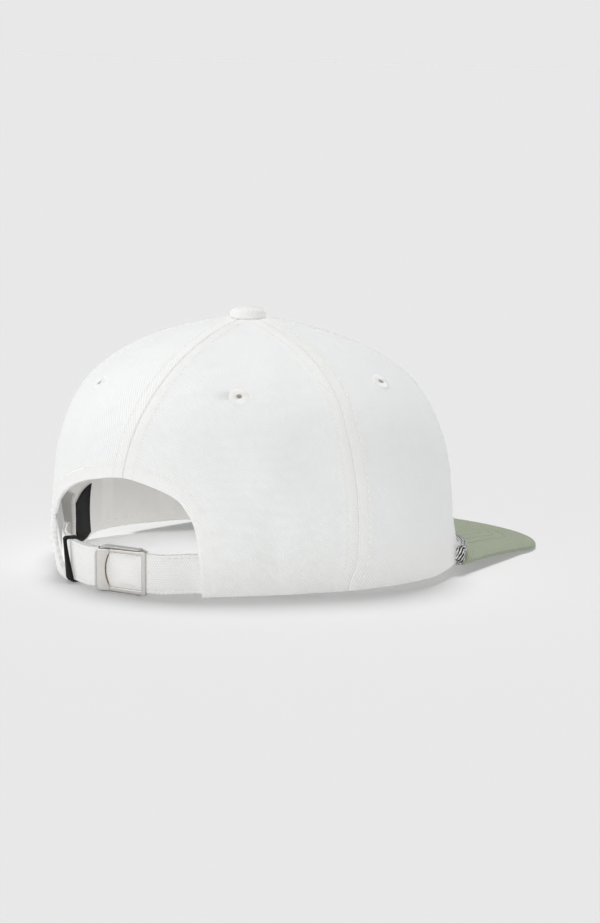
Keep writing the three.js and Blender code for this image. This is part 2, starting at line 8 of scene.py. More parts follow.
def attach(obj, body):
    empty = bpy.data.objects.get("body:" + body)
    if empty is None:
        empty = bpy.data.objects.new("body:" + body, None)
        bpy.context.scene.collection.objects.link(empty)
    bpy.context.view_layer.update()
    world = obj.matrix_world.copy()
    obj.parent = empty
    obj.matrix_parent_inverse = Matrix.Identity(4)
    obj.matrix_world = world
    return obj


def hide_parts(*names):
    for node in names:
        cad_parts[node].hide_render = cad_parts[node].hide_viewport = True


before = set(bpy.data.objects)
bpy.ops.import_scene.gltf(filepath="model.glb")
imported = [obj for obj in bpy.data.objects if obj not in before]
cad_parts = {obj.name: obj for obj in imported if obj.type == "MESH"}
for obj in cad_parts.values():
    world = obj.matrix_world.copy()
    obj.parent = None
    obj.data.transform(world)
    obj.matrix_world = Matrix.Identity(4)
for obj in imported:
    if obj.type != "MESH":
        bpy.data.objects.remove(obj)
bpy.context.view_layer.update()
print("frame loaded")

# Lengths are in mm in the cap's own frame: its lower edge is the plane z = 0, the brim points to -Y,
# and angles go round from the middle of the back (0) by the wearer's right (90) to the front (180).
stand = {
    "lean": -0.0385060546,  # radians about X
    "place": (0.136257, 27.779709, 3.189305),
}


def joined(*columns):
    # points or places from their columns
    return np.stack(np.broadcast_arrays(*columns), axis=-1)


def leaned(points):
    points = np.asarray(points, float)
    c, s = math.cos(stand["lean"]), math.sin(stand["lean"])
    x, y, z = points[..., 0], points[..., 1], points[..., 2]
    return joined(x, y * c - z * s, y * s + z * c)


def grounded(points):
    # from the cap's frame in mm to the ground's frame in metres
    return (leaned(points) + np.array(stand["place"])) / 1000


def addObject(name, data):
    made = bpy.data.objects.new(name, data)
    bpy.context.collection.objects.link(made)
    return made


# Camera
view = {
    "azimuth": 33.879,
    "elevation": 9.508,
    "distance": 1300,
    "target": (0, 0, 50),
    "focal": 2933.6,  # in pixels of the picture
    "middle": (245.77, 445.79),  # where the target is in the picture, in pixels
    "size": (600, 923),
    "film": 36,
}


def addCamera():
    azimuth, elevation = math.radians(view["azimuth"]), math.radians(view["elevation"])
    back = Vector((
        -math.sin(azimuth) * math.cos(elevation),
        math.cos(azimuth) * math.cos(elevation),
        math.sin(elevation),
    ))
    right = Vector((-math.cos(azimuth), -math.sin(azimuth), 0))
    up = back.cross(right)
    eye = Vector(view["target"]) + view["distance"] * back
    perPixel = view["distance"] / view["focal"]
    aim = (
        Vector(view["target"])
        + right * (view["size"][0] / 2 - view["middle"][0]) * perPixel
        - up * (view["size"][1] / 2 - view["middle"][1]) * perPixel
    )
    away = (eye - aim).normalized()
    across = up.cross(away).normalized()
    axes = [leaned(np.array(axis)) for axis in (across, away.cross(across), away)]
    data = bpy.data.cameras.new("camera")
    data.sensor_width = view["film"]
    data.lens = view["focal"] / view["size"][1] * view["film"]
    data.clip_start, data.clip_end = 0.05, 200
    shot = addObject("camera", data)
    place = Matrix([[axes[c][r] for c in range(3)] for r in range(3)]).to_4x4()
    place.translation = Vector(grounded(np.array(eye)))
    shot.matrix_world = place
    bpy.context.scene.camera = shot


addCamera()
print("camera made")


# Shader maths
class Plug:
    def __init__(self, paint, socket):
        self.paint = paint
        self.socket = socket

    def maths(self, operation, *others):
        return self.paint.node("ShaderNodeMath", {"operation": operation}, [self, *others])

    def output(self, name):
        return Plug(self.paint, self.socket.node.outputs[name])

    def __rsub__(self, other):
        return self.paint.node("ShaderNodeMath", {"operation": "SUBTRACT"}, [other, self])

    __add__ = __radd__ = partialmethod(maths, "ADD")
    __sub__ = partialmethod(maths, "SUBTRACT")
    __mul__ = __rmul__ = partialmethod(maths, "MULTIPLY")
    __truediv__ = partialmethod(maths, "DIVIDE")
    __pow__ = partialmethod(maths, "POWER")


class Paint:
    def __init__(self, name, owner=None):
        self.owner = owner or bpy.data.materials.new(name)
        self.owner.use_nodes = True
        self.tree = self.owner.node_tree
        self.tree.nodes.clear()

    def node(self, kind, settings=None, inputs=None, output=0):
        made = self.tree.nodes.new(kind)
        for key, value in (settings or {}).items():
            setattr(made, key, value)
        pairs = inputs.items() if isinstance(inputs, dict) else enumerate(inputs or [])
        for key, value in pairs:
            if isinstance(value, Plug):
                self.tree.links.new(value.socket, made.inputs[key])
            else:
                made.inputs[key].default_value = value
        return Plug(self, made.outputs[output]) if made.outputs else None

    def cloth(self):
        # places on the cloth, in mm: across and along
        place = self.node("ShaderNodeUVMap", {"uv_map": "cloth"})
        parts = self.node("ShaderNodeSeparateXYZ", None, [place])
        return parts * 100, parts.output("Y") * 100

    def noise(self, spot, scale, detail=2.0, rough=0.5):
        vector = self.node("ShaderNodeCombineXYZ", None, list(spot))
        inputs = {"Vector": vector, "Scale": scale, "Detail": detail, "Roughness": rough}
        return self.node("ShaderNodeTexNoise", None, inputs)

    def mix(self, share, first, second):
        return self.node("ShaderNodeMix", {"data_type": "RGBA"}, {0: share, 6: first, 7: second}, output=2)

    def mask(self, name):
        return self.node("ShaderNodeAttribute", {"attribute_name": name}).output("Fac")

    def surface(self, base, rough, height=None, depth=0, strength=0.8, sheen=0, specular=0.25, metallic=0):
        inputs = {"Base Color": base, "Roughness": rough, "Metallic": metallic}
        inputs |= {"Specular IOR Level": specular, "Sheen Weight": sheen, "Sheen Roughness": 0.5}
        if height is not None:
            bump = {"Height": height, "Distance": depth, "Strength": strength}
            inputs["Normal"] = self.node("ShaderNodeBump", None, bump)
        cover = self.node("ShaderNodeBsdfPrincipled", None, inputs)
        self.node("ShaderNodeOutputMaterial", None, {"Surface": cover})
        return self.owner


def wave(value, period):
    # 0 to 1 and back over each period
    return (value * (2 * math.pi / period)).maths("SINE") * 0.5 + 0.5


def tone(red, green, blue):
    return (red, green, blue, 1.0)


# White cotton twill of the crown, band, button and eyelets
twill = {
    "colour": tone(0.915, 0.92, 0.92),
    "doubled": tone(0.93, 0.925, 0.91),  # where the cloth lies double, over seams and hems
    "shade": tone(0.71, 0.725, 0.735),
    # painted warm light near the lower edge
    "warm": tone(0.93, 0.915, 0.885),  # towards the lower edge
    "warmTo": 26,  # height over which it fades
    # painted shade, for the seams' grooves, the hem's dent and the eyelets' holes
    "painted_shade": tone(0.50, 0.49, 0.47),
    "pitch": 1.22,
    "steep": 0.9,
    "yarn": 0.6,
    "depth": 0.00018,
    "sheen": 0.12,
}


def twillPaint(name, changes):
    look = {**twill, **changes}
    paint = Paint(name)
    u, v = paint.cloth()
    wander = paint.noise((u, v), 0.35) * 0.5
    ridge = wave(u + v * look["steep"] + wander, look["pitch"])
    yarn = wave(v - u * 0.5 + wander, look["yarn"])
    lint = paint.noise((u, v), 3.2, 3.0, 0.6)
    patch = paint.noise((u, v), 0.045)
    base = paint.mix(paint.mask("doubled"), look["colour"], look["doubled"])
    # painted warm light, fading out upwards from the lower edge
    base = paint.mix((1 - v / look["warmTo"]).maths("MAXIMUM", 0.0) * 0.7, base, look["warm"])
    base = paint.mix((1 - ridge) * 0.42 + patch * 0.12, base, look["shade"])
    # painted shade where the cloth lies low or a hole goes through it
    base = paint.mix(paint.mask("painted_shade") * 0.3, base, look["painted_shade"])
    height = ridge * 0.75 + yarn * 0.2 + lint * 0.35
    return paint.surface(base, lint * 0.1 + 0.86, height, look["depth"], sheen=look["sheen"])


def brimPaint(name, look):
    paint = Paint(name)
    u, v = paint.cloth()
    turn = math.radians(look["turn"])
    across = u * math.cos(turn) + v * math.sin(turn) + paint.noise((u, v), 0.3) * 0.45
    along = v * math.cos(turn) - u * math.sin(turn)
    rib = wave(across, look["pitch"])
    yarn = wave(along + rib * 0.25, look["yarn"])
    lint = paint.noise((u, v), 2.6, 3.0, 0.6)
    base = paint.mix((1 - rib) * 0.75 + lint * 0.2, look["colour"], look["furrow"])
    base = paint.mix(paint.noise((u, v), 0.05) * 0.35, base, look["faded"])
    base = paint.mix(paint.mask("doubled"), base, look["sewn"])
    height = rib * 0.8 + yarn * 0.15 + lint * 0.3
    return paint.surface(base, lint * 0.12 + 0.84, height, look["depth"], sheen=0.15)


def webbingPaint(name, look):
    paint = Paint(name)
    u, v = paint.cloth()
    # the dashes lean one way in one row and the other way in the next
    row = (v / look["row"]).maths("PINGPONG", 1.0) * look["row"]
    dash = wave(u + row * look["slant"], look["dash"])
    row = wave(v, look["row"])
    lint = paint.noise((u, v), 3.0, 3.0, 0.6)
    base = paint.mix((1 - dash) * 0.5 + (1 - row) * 0.3, look["colour"], look["furrow"])
    height = dash * 0.7 + row * 0.35 + lint * 0.25
    return paint.surface(base, lint * 0.15 + 0.78, height, look["depth"], 0.9, sheen=0.12, specular=0.3)


def yarnPaint(name, look):
    paint = Paint(name)
    u, v = paint.cloth()
    fibre = wave(u * 2.2 + v, 0.34)
    lint = paint.noise((u * 2.0, v), 2.5, 3.0, 0.6)
    base = paint.mix((1 - fibre) * 0.5 + lint * 0.25, look["colour"], look["furrow"])
    return paint.surface(base, lint * 0.2 + 0.7, fibre + lint * 0.4, 0.00009, sheen=0.12, specular=0.3)


def tapePaint(name, look):
    paint = Paint(name)
    u, v = paint.cloth()
    rib = wave(v, look["rib"])
    weave = wave(u + rib * 0.2, look["weave"])
    lint = paint.noise((u, v), 3.5, 3.0, 0.6)
    base = paint.mix((1 - weave) * 0.3 + (lint - 0.5) * 0.8, look["colour"], look["light"])
    return paint.surface(base, lint * 0.25 + 0.62, weave * rib + lint * 0.3, 0.00012, specular=0.16)


def nickelPaint(name, look):
    paint = Paint(name)
    place = paint.node("ShaderNodeTexCoord").output("Object")
    parts = paint.node("ShaderNodeSeparateXYZ", None, [place])
    x, y, z = parts * 1000, parts.output("Y") * 1000, parts.output("Z") * 1000
    brushed = paint.noise((x * 0.5, y * 2.0, z * 7.0), 2.2, 3.0, 0.6)
    stain = paint.noise((x, y, z), 0.22, 3.0)
    nick = paint.noise((x, y, z), 1.4, 4.0, 0.7)
    base = paint.mix(stain * 0.7, look["colour"], look["dull"])
    base = paint.mix((nick - 0.56) * 3.0, base, look["worn"])
    # painted shade, brown-dark, where the metal faces inwards or down
    base = paint.mix(paint.mask("painted_shade"), base, look["edge"])
    rough = brushed * 0.12 + stain * 0.1 + look["rough"]
    return paint.surface(base, rough, brushed, 0.00002, 0.35, specular=0.5, metallic=1.0)


# Mesh helpers
def smoothstep(low, high, value):
    share = np.clip((np.asarray(value, float) - low) / (high - low), 0, 1)
    return share * share * (3 - 2 * share)


def unit(vectors):
    return vectors / np.maximum(np.linalg.norm(vectors, axis=-1, keepdims=True), 1e-12)


def together(angle, height):
    return np.broadcast_arrays(np.asarray(angle, float), np.asarray(height, float))


def turns(count):
    return np.arange(count) / count * 2 * math.pi


def bell(value, spread):
    return np.exp(-((value / spread) ** 2))


def lengths(line):
    # how far along a line each of its points is
    return np.concatenate([[0], np.cumsum(np.linalg.norm(np.diff(line, axis=0), axis=1))])


def between(places, steps, values):
    # rows of values at places between the steps
    return joined(*(np.interp(places, steps, column) for column in values.T))


def evenly(line, count):
    steps = lengths(line)
    return between(np.linspace(0, steps[-1], count), steps, line)


def headings(line):
    return unit(np.gradient(line, axis=0))


def leftOf(line):
    # the direction square to a flat line, on its left
    heading = headings(line)
    return joined(-heading[:, 1], heading[:, 0])


def cubic(start, end, speed, endSpeed, count):
    # points from start to end, without the end
    t = np.linspace(0, 1, count, endpoint=False)[:, None]
    rise = 3 * end - 3 * start - 2 * speed - endSpeed
    return start + speed * t + rise * t**2 + (2 * start - 2 * end + speed + endSpeed) * t**3


def routeThrough(points, count):
    # a centripetal spline through the points, resampled to equal steps
    points = np.asarray(points, float)
    ends = np.concatenate([[2 * points[0] - points[1]], points, [2 * points[-1] - points[-2]]])
    fine = []
    for k in range(len(points) - 1):
        p0, p1, p2, p3 = ends[k : k + 4]
        d0, d1, d2 = [max(np.linalg.norm(b - a), 1e-6) ** 0.5 for a, b in ((p0, p1), (p1, p2), (p2, p3))]
        t1 = ((p1 - p0) / d0 - (p2 - p0) / (d0 + d1) + (p2 - p1) / d1) * d1
        t2 = ((p2 - p1) / d1 - (p3 - p1) / (d1 + d2) + (p3 - p2) / d2) * d1
        fine.extend(cubic(p1, p2, t1, t2, 24))
    fine.append(points[-1])
    return evenly(np.array(fine), count)


def makeMesh(name, points, faces, places, masks=None):
    # points in mm in the cap's frame, places on the cloth in mm
    mesh = bpy.data.meshes.new(name)
    mesh.from_pydata(grounded(np.reshape(points, (-1, 3))).tolist(), [], [list(face) for face in faces])
    corners = np.zeros(len(mesh.loops), int)
    mesh.loops.foreach_get("vertex_index", corners)
    layer = mesh.uv_layers.new(name="cloth")
    layer.data.foreach_set("uv", (np.reshape(places, (-1, 2))[corners] / 100).ravel())
    for key, values in (masks or {}).items():
        values = np.broadcast_to(np.asarray(values, float).ravel(), len(mesh.vertices))
        mesh.attributes.new(key, "FLOAT", "POINT").data.foreach_set("value", np.array(values))
    mesh.polygons.foreach_set("use_smooth", [True] * len(mesh.polygons))
    mesh.update()
    return addObject(name, mesh)


def dress(piece, paint, slotName, *nodes, body="cap"):
    piece.data.materials.append(paint)
    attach(piece, body)
    if nodes:
        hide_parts(*nodes)


def gridFaces(columns, rows, flip=False, closed=(False, False)):
    # quads between the points of a grid, which can close on itself in either direction
    i, j = np.meshgrid(np.arange(columns - 1 + closed[0]), np.arange(rows - 1 + closed[1]), indexing="ij")
    i, j = i.ravel(), j.ravel()
    after, above = (i + 1) % columns, (j + 1) % rows
    quads = joined(i * rows + j, after * rows + j, after * rows + above, i * rows + above)
    return quads[:, [0, 3, 2, 1]] if flip else quads


def shell(name, outer, inner, places, masks=None, holes=None):
    # a closed wall between two grids; seen from outside, columns go left to right and rows go up
    columns, rows = outer.shape[:2]
    count = columns * rows
    cells = gridFaces(columns, rows)
    if holes is None:
        holes = np.zeros(len(cells), bool)
    faces = [cells[~holes], count + gridFaces(columns, rows, flip=True)[~holes]]
    if holes.any():
        # walls of the holes, between each cut cell and a whole neighbour
        whole = {tuple(pair) for cell in cells[~holes] for pair in zip(cell, np.roll(cell, -1))}
        rim = [(a, b) for cell in cells[holes] for a, b in zip(cell, np.roll(cell, -1)) if (b, a) in whole]
        faces.append(np.array([(a, b, count + b, count + a) for a, b in rim]))
    low = np.arange(columns) * rows
    left = np.arange(rows)
    # walls along the four borders
    for border in (low[::-1], low + rows - 1, left, left[::-1] + (columns - 1) * rows):
        first, second = border[:-1], border[1:]
        faces.append(joined(first, second, count + second, count + first))
    spread = {key: np.tile(np.ravel(value), 2) for key, value in (masks or {}).items()}
    return makeMesh(name, np.stack([outer, inner]), np.concatenate(faces), np.stack([places, places]), spread)


def tubes(rings):
    # closed tubes from rings of shape (tube, ring, side, 3): returns points and faces
    count, length, sides = rings.shape[:3]
    quads = gridFaces(length, sides, flip=True, closed=(False, True))
    caps = (np.arange(sides)[::-1], np.arange(sides) + (length - 1) * sides)
    faces = []
    for start in range(0, count * length * sides, length * sides):
        faces.extend((quads + start).tolist())
        faces.extend((cap + start).tolist() for cap in caps)
    return rings.reshape(-1, 3), faces


def stitches(line, normals, length=2.3, gap=0.75, width=0.42, tall=0.34, dip=0.16, sides=5):
    # little sunk capsules of thread along a line of points
    steps = lengths(line)
    count = max(1, int(steps[-1] / (length + gap)))
    middles = (np.arange(count) + 0.5) * steps[-1] / count
    shares = np.array([-0.5, -0.4, 0.0, 0.4, 0.5])
    thick = np.array([0.35, 0.85, 1.0, 0.85, 0.35])[:, None, None]
    place = middles[:, None] + shares * length
    normal = unit(between(place, steps, normals))
    along = unit(between(place + 0.2, steps, line) - between(place - 0.2, steps, line))
    across = np.cross(along, normal)
    centre = between(place, steps, line) - normal * (dip * (2 * shares[None, :, None]) ** 2)
    turn = turns(sides)[:, None]
    wide = across[:, :, None] * (np.cos(turn) * width / 2) * thick
    high = normal[:, :, None] * (np.sin(turn) * tall / 2) * thick
    return centre[:, :, None] + wide + high


def addStitches(name, rows, paint, slotName):
    points, faces = tubes(np.concatenate(rows))
    piece = makeMesh(name, points, faces, points[:, [0, 2]], {"doubled": 1})
    dress(piece, paint, slotName)


def ripple(u, v, seed, size, octaves=3):
    picks = np.random.default_rng(seed)
    total = np.zeros(np.broadcast(u, v).shape)
    for octave in range(octaves):
        for _ in range(5):
            heading, phase = picks.uniform(0, 2 * math.pi, 2)
            rate = 2 * math.pi / size * 1.8**octave
            total += np.sin(rate * (u * math.cos(heading) + v * math.sin(heading)) + phase) / 5 / 1.7**octave
    return total


# Shape of the crown
crown = {
    "height": 107.4,
    "radius": 89.9,
    "wall": 1.6,
    "waves": ((2, 0.010), (3, 0.024), (4, 0.030)),
    "fullness": 4.5,
    "rounding": 1.54,
    "setBack": -1.7,
    "backTuck": (0.04, 29),
    "frontFlare": (0.045, 64),
    "seams": {"side": 67, "front": 118},
    "topShare": 0.03,
}
perDegree = math.radians(crown["radius"])  # mm of cloth to a degree round the crown
toFlat = np.array([perDegree, 1])  # from angle and height to mm on the cloth
folds = [  # angle, height, spread round, spread up, depth inwards
    (31, 57, 9, 20, 1.5),
    (53, 54, 8, 17, 1.3),
    (47, 91, 7, 9, -0.9),
    (42, 14, 4, 18, 1.2),
    (10, 60, 6, 6, 0.9),
    (104, 24, 6, 22, 1.6),
    (124, 66, 26, 14, 1.0),
    (-30, 12, 14, 26, -4.2),
    (-54, 5, 16, 14, 1.3),
    (-58, 66, 12, 16, 1.4),
    (-98, 30, 8, 24, 1.5),
    (-128, 70, 20, 16, 1.1),
    (148, 95, 24, 12, 2.4),
    (127, 0, 13, 14, -2.9),
]
drifts = [  # angle, height, spread round, spread up, degrees that the cloth is turned
    (0, 100, 18, 36, 3.6),
    (67, 0, 12, 10, -2.4),
    (67, 66, 14, 20, -1.1),
]


def bumpsAt(bumps, angle, height):
    total = 0
    for middle, level, spread, tall, most in bumps:
        total = total + most * bell(angle - middle, spread) * bell(height - level, tall)
    return total


def edgeShare(change, height, facing):
    share, reach = change
    fade = np.maximum(0, 1 - height / reach)
    return share * ((1 + facing) / 2) ** 1.5 * fade * fade


def domeShare(height):
    rise = np.minimum(height / crown["height"], 1)
    return (1 - rise ** crown["fullness"]) ** (1 / crown["rounding"])


def signedAngle(angle):
    return np.where(angle > 180, angle - 360, angle)


def crownPoint(angle, height):
    angle, height = together(angle, height)
    signed = signedAngle(angle)
    drifted = signed + bumpsAt(drifts, signed, height)
    turn = np.radians(drifted)
    plan = crown["radius"] * (1 + sum(share * np.cos(times * turn) for times, share in crown["waves"]))
    dome = domeShare(height)
    tuck = edgeShare(crown["backTuck"], height, np.cos(turn))
    flare = edgeShare(crown["frontFlare"], height, -np.cos(turn))
    fold = bumpsAt(folds, drifted, height) * np.minimum(1, 2 * dome)
    radius = plan * dome * (1 - tuck + flare) - fold
    rise = np.minimum(height / crown["height"], 1)
    y = radius * np.cos(turn) + crown["setBack"] * rise * rise
    return joined(-radius * np.sin(turn), y, height)


def crownRadius(angle, height):
    return np.linalg.norm(crownPoint(angle, height)[..., :2], axis=-1)


def crownNormal(angle, height):
    step = 0.5
    low = np.maximum(0, height - step)
    across = crownPoint(angle + step, height) - crownPoint(angle - step, height)
    upwards = crownPoint(angle, low + 2 * step) - crownPoint(angle, low)
    return unit(np.cross(across, upwards))


def crownInside(angle, height, inset):
    angle, height = together(angle, height)
    normal = crownNormal(angle, height)
    normal[..., 2] *= smoothstep(0, 12, height)
    return crownPoint(angle, height) - unit(normal) * np.asarray(inset)[..., None]


levels = crown["height"] * (1 - np.linspace(1, 0, 4000) ** 2.5)
arcs = lengths(joined(levels, crown["radius"] * domeShare(levels)))


def arcAt(height):
    return np.interp(height, levels, arcs)


def heightAt(arc):
    return np.interp(arc, arcs, levels)


topHeight = crown["height"] * (1 - crown["topShare"] ** 2)

# Opening at the back
opening = {
    "rows": (  # height, reach to the wearer's left, reach to the right
        (0, 36, 33),
        (8, 41, 33.4),
        (19, 45.5, 33.4),
        (30, 46, 32),
        (37, 40, 28.8),
        (42, 32, 24.7),
        (46.4, 19, 15.5),
    ),
    "top": 49.4,
    "hem": 5.5,
}


def openingEdge(side, count=160):
    # angle and height along the opening's edge, from its top to its lower corner
    column = 2 if side > 0 else 1
    flat = [(-side * row[column], row[0]) for row in opening["rows"]] + [(0, opening["top"])]
    flat += [(side * row[3 - column], row[0]) for row in reversed(opening["rows"])]
    flat = np.array(flat, float)
    ends = np.concatenate([[flat[0]], flat, [flat[-1]]])
    line = []
    for k in range(len(opening["rows"])):
        p0, p1, p2, p3 = ends[k : k + 4]
        line.extend(cubic(p1, p2, (p2 - p0) / 2, (p3 - p1) / 2, 20))
    tries = np.linspace(0, 44, 441)
    found = [(0, opening["top"])]
    for x, height in [(0, opening["top"])] + line[::-1]:
        angle = np.interp(-side * x, -side * crownPoint(side * tries, height)[:, 0], tries)
        if angle > 0.05:
            found.append((side * angle, height))
    return evenly(np.array(found) * toFlat, count) / toFlat


# Crown panels
cloth = {
    "seamGap": 0.04,
    "allowance": 6.2,
    "raised": 0.24,
    "stitchAt": 5.0,
    "hemRaised": 0.2,
    "rounded": 0.7,
    "seamRounded": 0.3,
    "cornerSpread": 9,  # degrees over which the columns of a back panel's lower corner fan out
    "fanOut": 5,  # height over which they do so
    "ripple": 0.34,
    "step": 1.5,
}
eyelet = {
    "spots": {"eyelet_back": (31, 82.4), "eyelet_side": (89, 84.5)},
    "outer": 4.25,
    "hole": 0.95,
    "deep": 1.6,
    "thick": 1.5,
    "threads": 34,
    "cut": 2.5,
    "look": {
        "colour": tone(0.95, 0.95, 0.94),
        "doubled": tone(0.95, 0.95, 0.94),
        "shade": tone(0.86, 0.865, 0.86),
        "pitch": 0.9,
        "steep": 0.0,
        "depth": 0.00012,
    },
}
crownPaint = twillPaint("crown_twill", {})


def nearest(points, line):
    # distance from each point to a line of points, in the same flat measure
    far = np.full(points.shape[:-1], 1e9)
    for start in range(0, len(line), 40):
        part = line[start : start + 40]
        gaps = np.linalg.norm(points[..., None, :] - part, axis=-1).min(-1)
        far = np.minimum(far, gaps)
    return far


def seamRelief(away, arc):
    strip = 1 - smoothstep(cloth["allowance"] - 0.9, cloth["allowance"] + 1.2, away)
    puff = 0.08 * np.sin(np.pi * np.clip(away / cloth["stitchAt"], 0, 1))
    row = bell(away - cloth["stitchAt"], 0.55)
    pucker = 0.06 * np.sin(2 * np.pi * arc / 5.3 + away) * bell(away - cloth["stitchAt"], 2.2)
    groove = bell(away, 0.5)
    # painted shade where the cloth lies low: the seam itself, and the stitch row a little
    painted_shade = np.maximum(groove, 0.35 * row)
    return strip * cloth["raised"] + puff - 0.13 * row + pucker - 0.12 * groove, strip, painted_shade


def sunk(away, radius):
    left = np.clip(radius - away, 0, radius)
    return radius - np.sqrt(radius**2 - left**2)


def seamSteps(span, step):
    # places from 0 to span, fine near both ends
    near = np.array([
        0, 0.12, 0.3, 0.55, 0.9, 1.4, 2, 2.7, 3.4, 4,
        4.4, 4.7, 5, 5.3, 5.6, 5.9, 6.2, 6.5, 6.9, 7.6, 8.6,
    ])
    middle = np.linspace(near[-1], span - near[-1], max(3, int((span - 2 * near[-1]) / step)))[1:-1]
    return np.concatenate([near, middle, span - near[::-1]])


def rowShares(total, step):
    low = np.array([0, 0.15, 0.4, 0.75, 1.3, 2.1, 3.2])
    return np.concatenate([low, np.linspace(low[-1], total, int(total / step))[1:]]) / total


def panelRelief(angle, height, start, end, hemLine, seed):
    arc = arcAt(height)
    radius = crownRadius(angle, height)
    away = np.minimum(np.abs(np.radians(angle - start)), np.abs(np.radians(end - angle))) * radius
    relief, double, painted_shade = seamRelief(away, arc)
    border = np.minimum(9.0, arc)
    if hemLine is not None:
        # measured on the cloth near the opening, which is low enough to be nearly upright
        hemAway = nearest(joined(angle, height) * toFlat, hemLine * toFlat)
        band = 1 - smoothstep(opening["hem"] + 0.4, opening["hem"] + 3.0, hemAway)
        dent = 0.14 * bell(hemAway - opening["hem"], 0.6)
        relief = relief * (1 - band) + band * np.maximum(relief * 0.4, cloth["hemRaised"]) - dent
        double = np.maximum(double, band)
        # painted shade in the hem's dent
        painted_shade = np.maximum(painted_shade, dent * 1.8)
        border = np.minimum(border, hemAway)
    u = np.radians(angle - (start + end) / 2) * radius
    calm = smoothstep(3, 18, away)
    relief = relief + calm * cloth["ripple"] * ripple(u, arc, seed, 34)
    relief = relief + calm * 0.12 * ripple(u, arc, seed + 1, 9, 2)
    edge = np.maximum(sunk(border, cloth["rounded"]), sunk(away, cloth["seamRounded"]))
    return relief, {"doubled": double, "painted_shade": painted_shade}, edge, joined(u, arc)


def eyeletHoles(points):
    # the cells of a panel's grid that an eyelet covers
    middles = (points[:-1, :-1] + points[1:, :-1] + points[1:, 1:] + points[:-1, 1:]).reshape(-1, 3) / 4
    holes = np.zeros(len(middles), bool)
    for angle, height in eyelet["spots"].values():
        for side in (-1, 1):
            holes |= np.linalg.norm(middles - crownPoint(side * angle, height), axis=1) < eyelet["cut"]
    return holes


def addPanel(name, angle, height, start, end, hemLine, seed):
    relief, masks, edge, places = panelRelief(angle, height, start, end, hemLine, seed)
    turn = np.radians(angle)
    inwards = np.zeros((len(angle), 1, 1))
    inwards[0], inwards[-1] = 1, -1
    apart = joined(-np.cos(turn), -np.sin(turn), 0) * inwards * cloth["seamGap"] / 2
    plain = crownPoint(angle, height)
    outer = plain + crownNormal(angle, height) * (relief - edge)[..., None] + apart
    inner = crownInside(angle, height, crown["wall"] - edge * 0.9 + masks["doubled"] * 0.25) + apart
    panel = shell(name, outer, inner, places, masks, eyeletHoles(plain))
    dress(panel, crownPaint, "crown_cloth", name)


def plainPanel(name, start, end, seed):
    span = (end - start) * perDegree
    columns = start + seamSteps(span, cloth["step"]) / span * (end - start)
    rows = heightAt(rowShares(arcAt(topHeight), cloth["step"]) * arcAt(topHeight))
    angle, height = np.meshgrid(columns, rows, indexing="ij")
    addPanel(name, angle, height, start, end, None, seed)


def backPanel(name, side, seed):
    # rows start on the opening's edge and on the lower edge beside it, and end under the button
    edge = openingEdge(side)
    seam = crown["seams"]["side"]
    outline = np.concatenate([edge, [[side * seam, 0]]])
    steps = lengths(outline * toFlat)
    columns = seamSteps(steps[-1], cloth["step"])
    columns[np.argmin(np.abs(columns - steps[-2]))] = steps[-2]
    low = between(columns, steps, outline)
    top = arcAt(topHeight)
    base = arcAt(low[:, 1:])
    shares = rowShares(top, cloth["step"])
    height = heightAt(base + (top - base) * shares)
    # above the opening's widest place the columns run on to the top
    widest = np.argmax(np.abs(edge[:, 0]))
    wide, wideHeight = abs(edge[widest, 0]), edge[widest, 1]
    spread = cloth["cornerSpread"]
    marks = [0, steps[widest], steps[-2], steps[-1]]
    ends = np.interp(columns, marks, [0, wide, wide + spread, seam])[:, None]
    start = np.abs(low[:, :1])
    above = start + (ends - start) * shares**0.8
    # below it they keep clear of the opening's edge, in their order
    fan = 1 - np.exp(-np.maximum(0, height - low[:, 1:]) / cloth["fanOut"])
    fan = fan * np.interp(columns, marks[1:3], [0, spread])[:, None]
    clear = np.interp(np.minimum(height, wideHeight), edge[::-1, 1], np.abs(edge[::-1, 0])) + fan
    clear = clear + np.interp(columns, marks[2:], [0, 1])[:, None] * (seam - clear)
    onward = np.clip((arcAt(height) - arcAt(wideHeight)) / (top - arcAt(wideHeight)), 0, 1) ** 0.9
    beside = clear + (ends - clear) * onward
    angle = np.where((columns > steps[widest])[:, None], beside, above) * side
    height[:, 0] = low[:, 1]
    addPanel(name, angle[::side], height[::side], *sorted((0, side * seam)), edge, seed)
    return edge


def onCloth(angles, heights, lift):
    normal = crownNormal(angles, heights)
    return crownPoint(angles, heights) + normal * lift, normal


def addCrown():
    side, front = crown["seams"]["side"], crown["seams"]["front"]
    plainPanel("front_panel", front, 360 - front, 11)
    plainPanel("side_panel_right", side, front, 23)
    plainPanel("side_panel_left", -front, -side, 37)
    rightEdge = backPanel("back_panel_right", 1, 41)
    leftEdge = backPanel("back_panel_left", -1, 59)
    rows = []
    for seam in (0, side, -side, front, -front):
        low = opening["top"] + 6 if seam == 0 else 1.5
        heights = heightAt(np.linspace(arcAt(low), arcAt(crown["height"] * 0.985), 120))
        for hand in (-1, 1):
            # at the same distance from the seam all the way up
            angles = seam + hand * np.degrees(cloth["stitchAt"] / crownRadius(seam, heights))
            rows.append(stitches(*onCloth(angles, heights, 0.2)))
    for hand, edge in ((1, rightEdge), (-1, leftEdge)):
        hem = edge * toFlat + leftOf(edge * toFlat) * opening["hem"] * hand
        line = evenly(hem[hem[:, 1] > 0.8], 120) / toFlat
        rows.append(stitches(*onCloth(line[:, 0], line[:, 1], 0.25)))
    addStitches("crown_stitches", rows, crownPaint, "crown_cloth")


addCrown()
print("crown made")


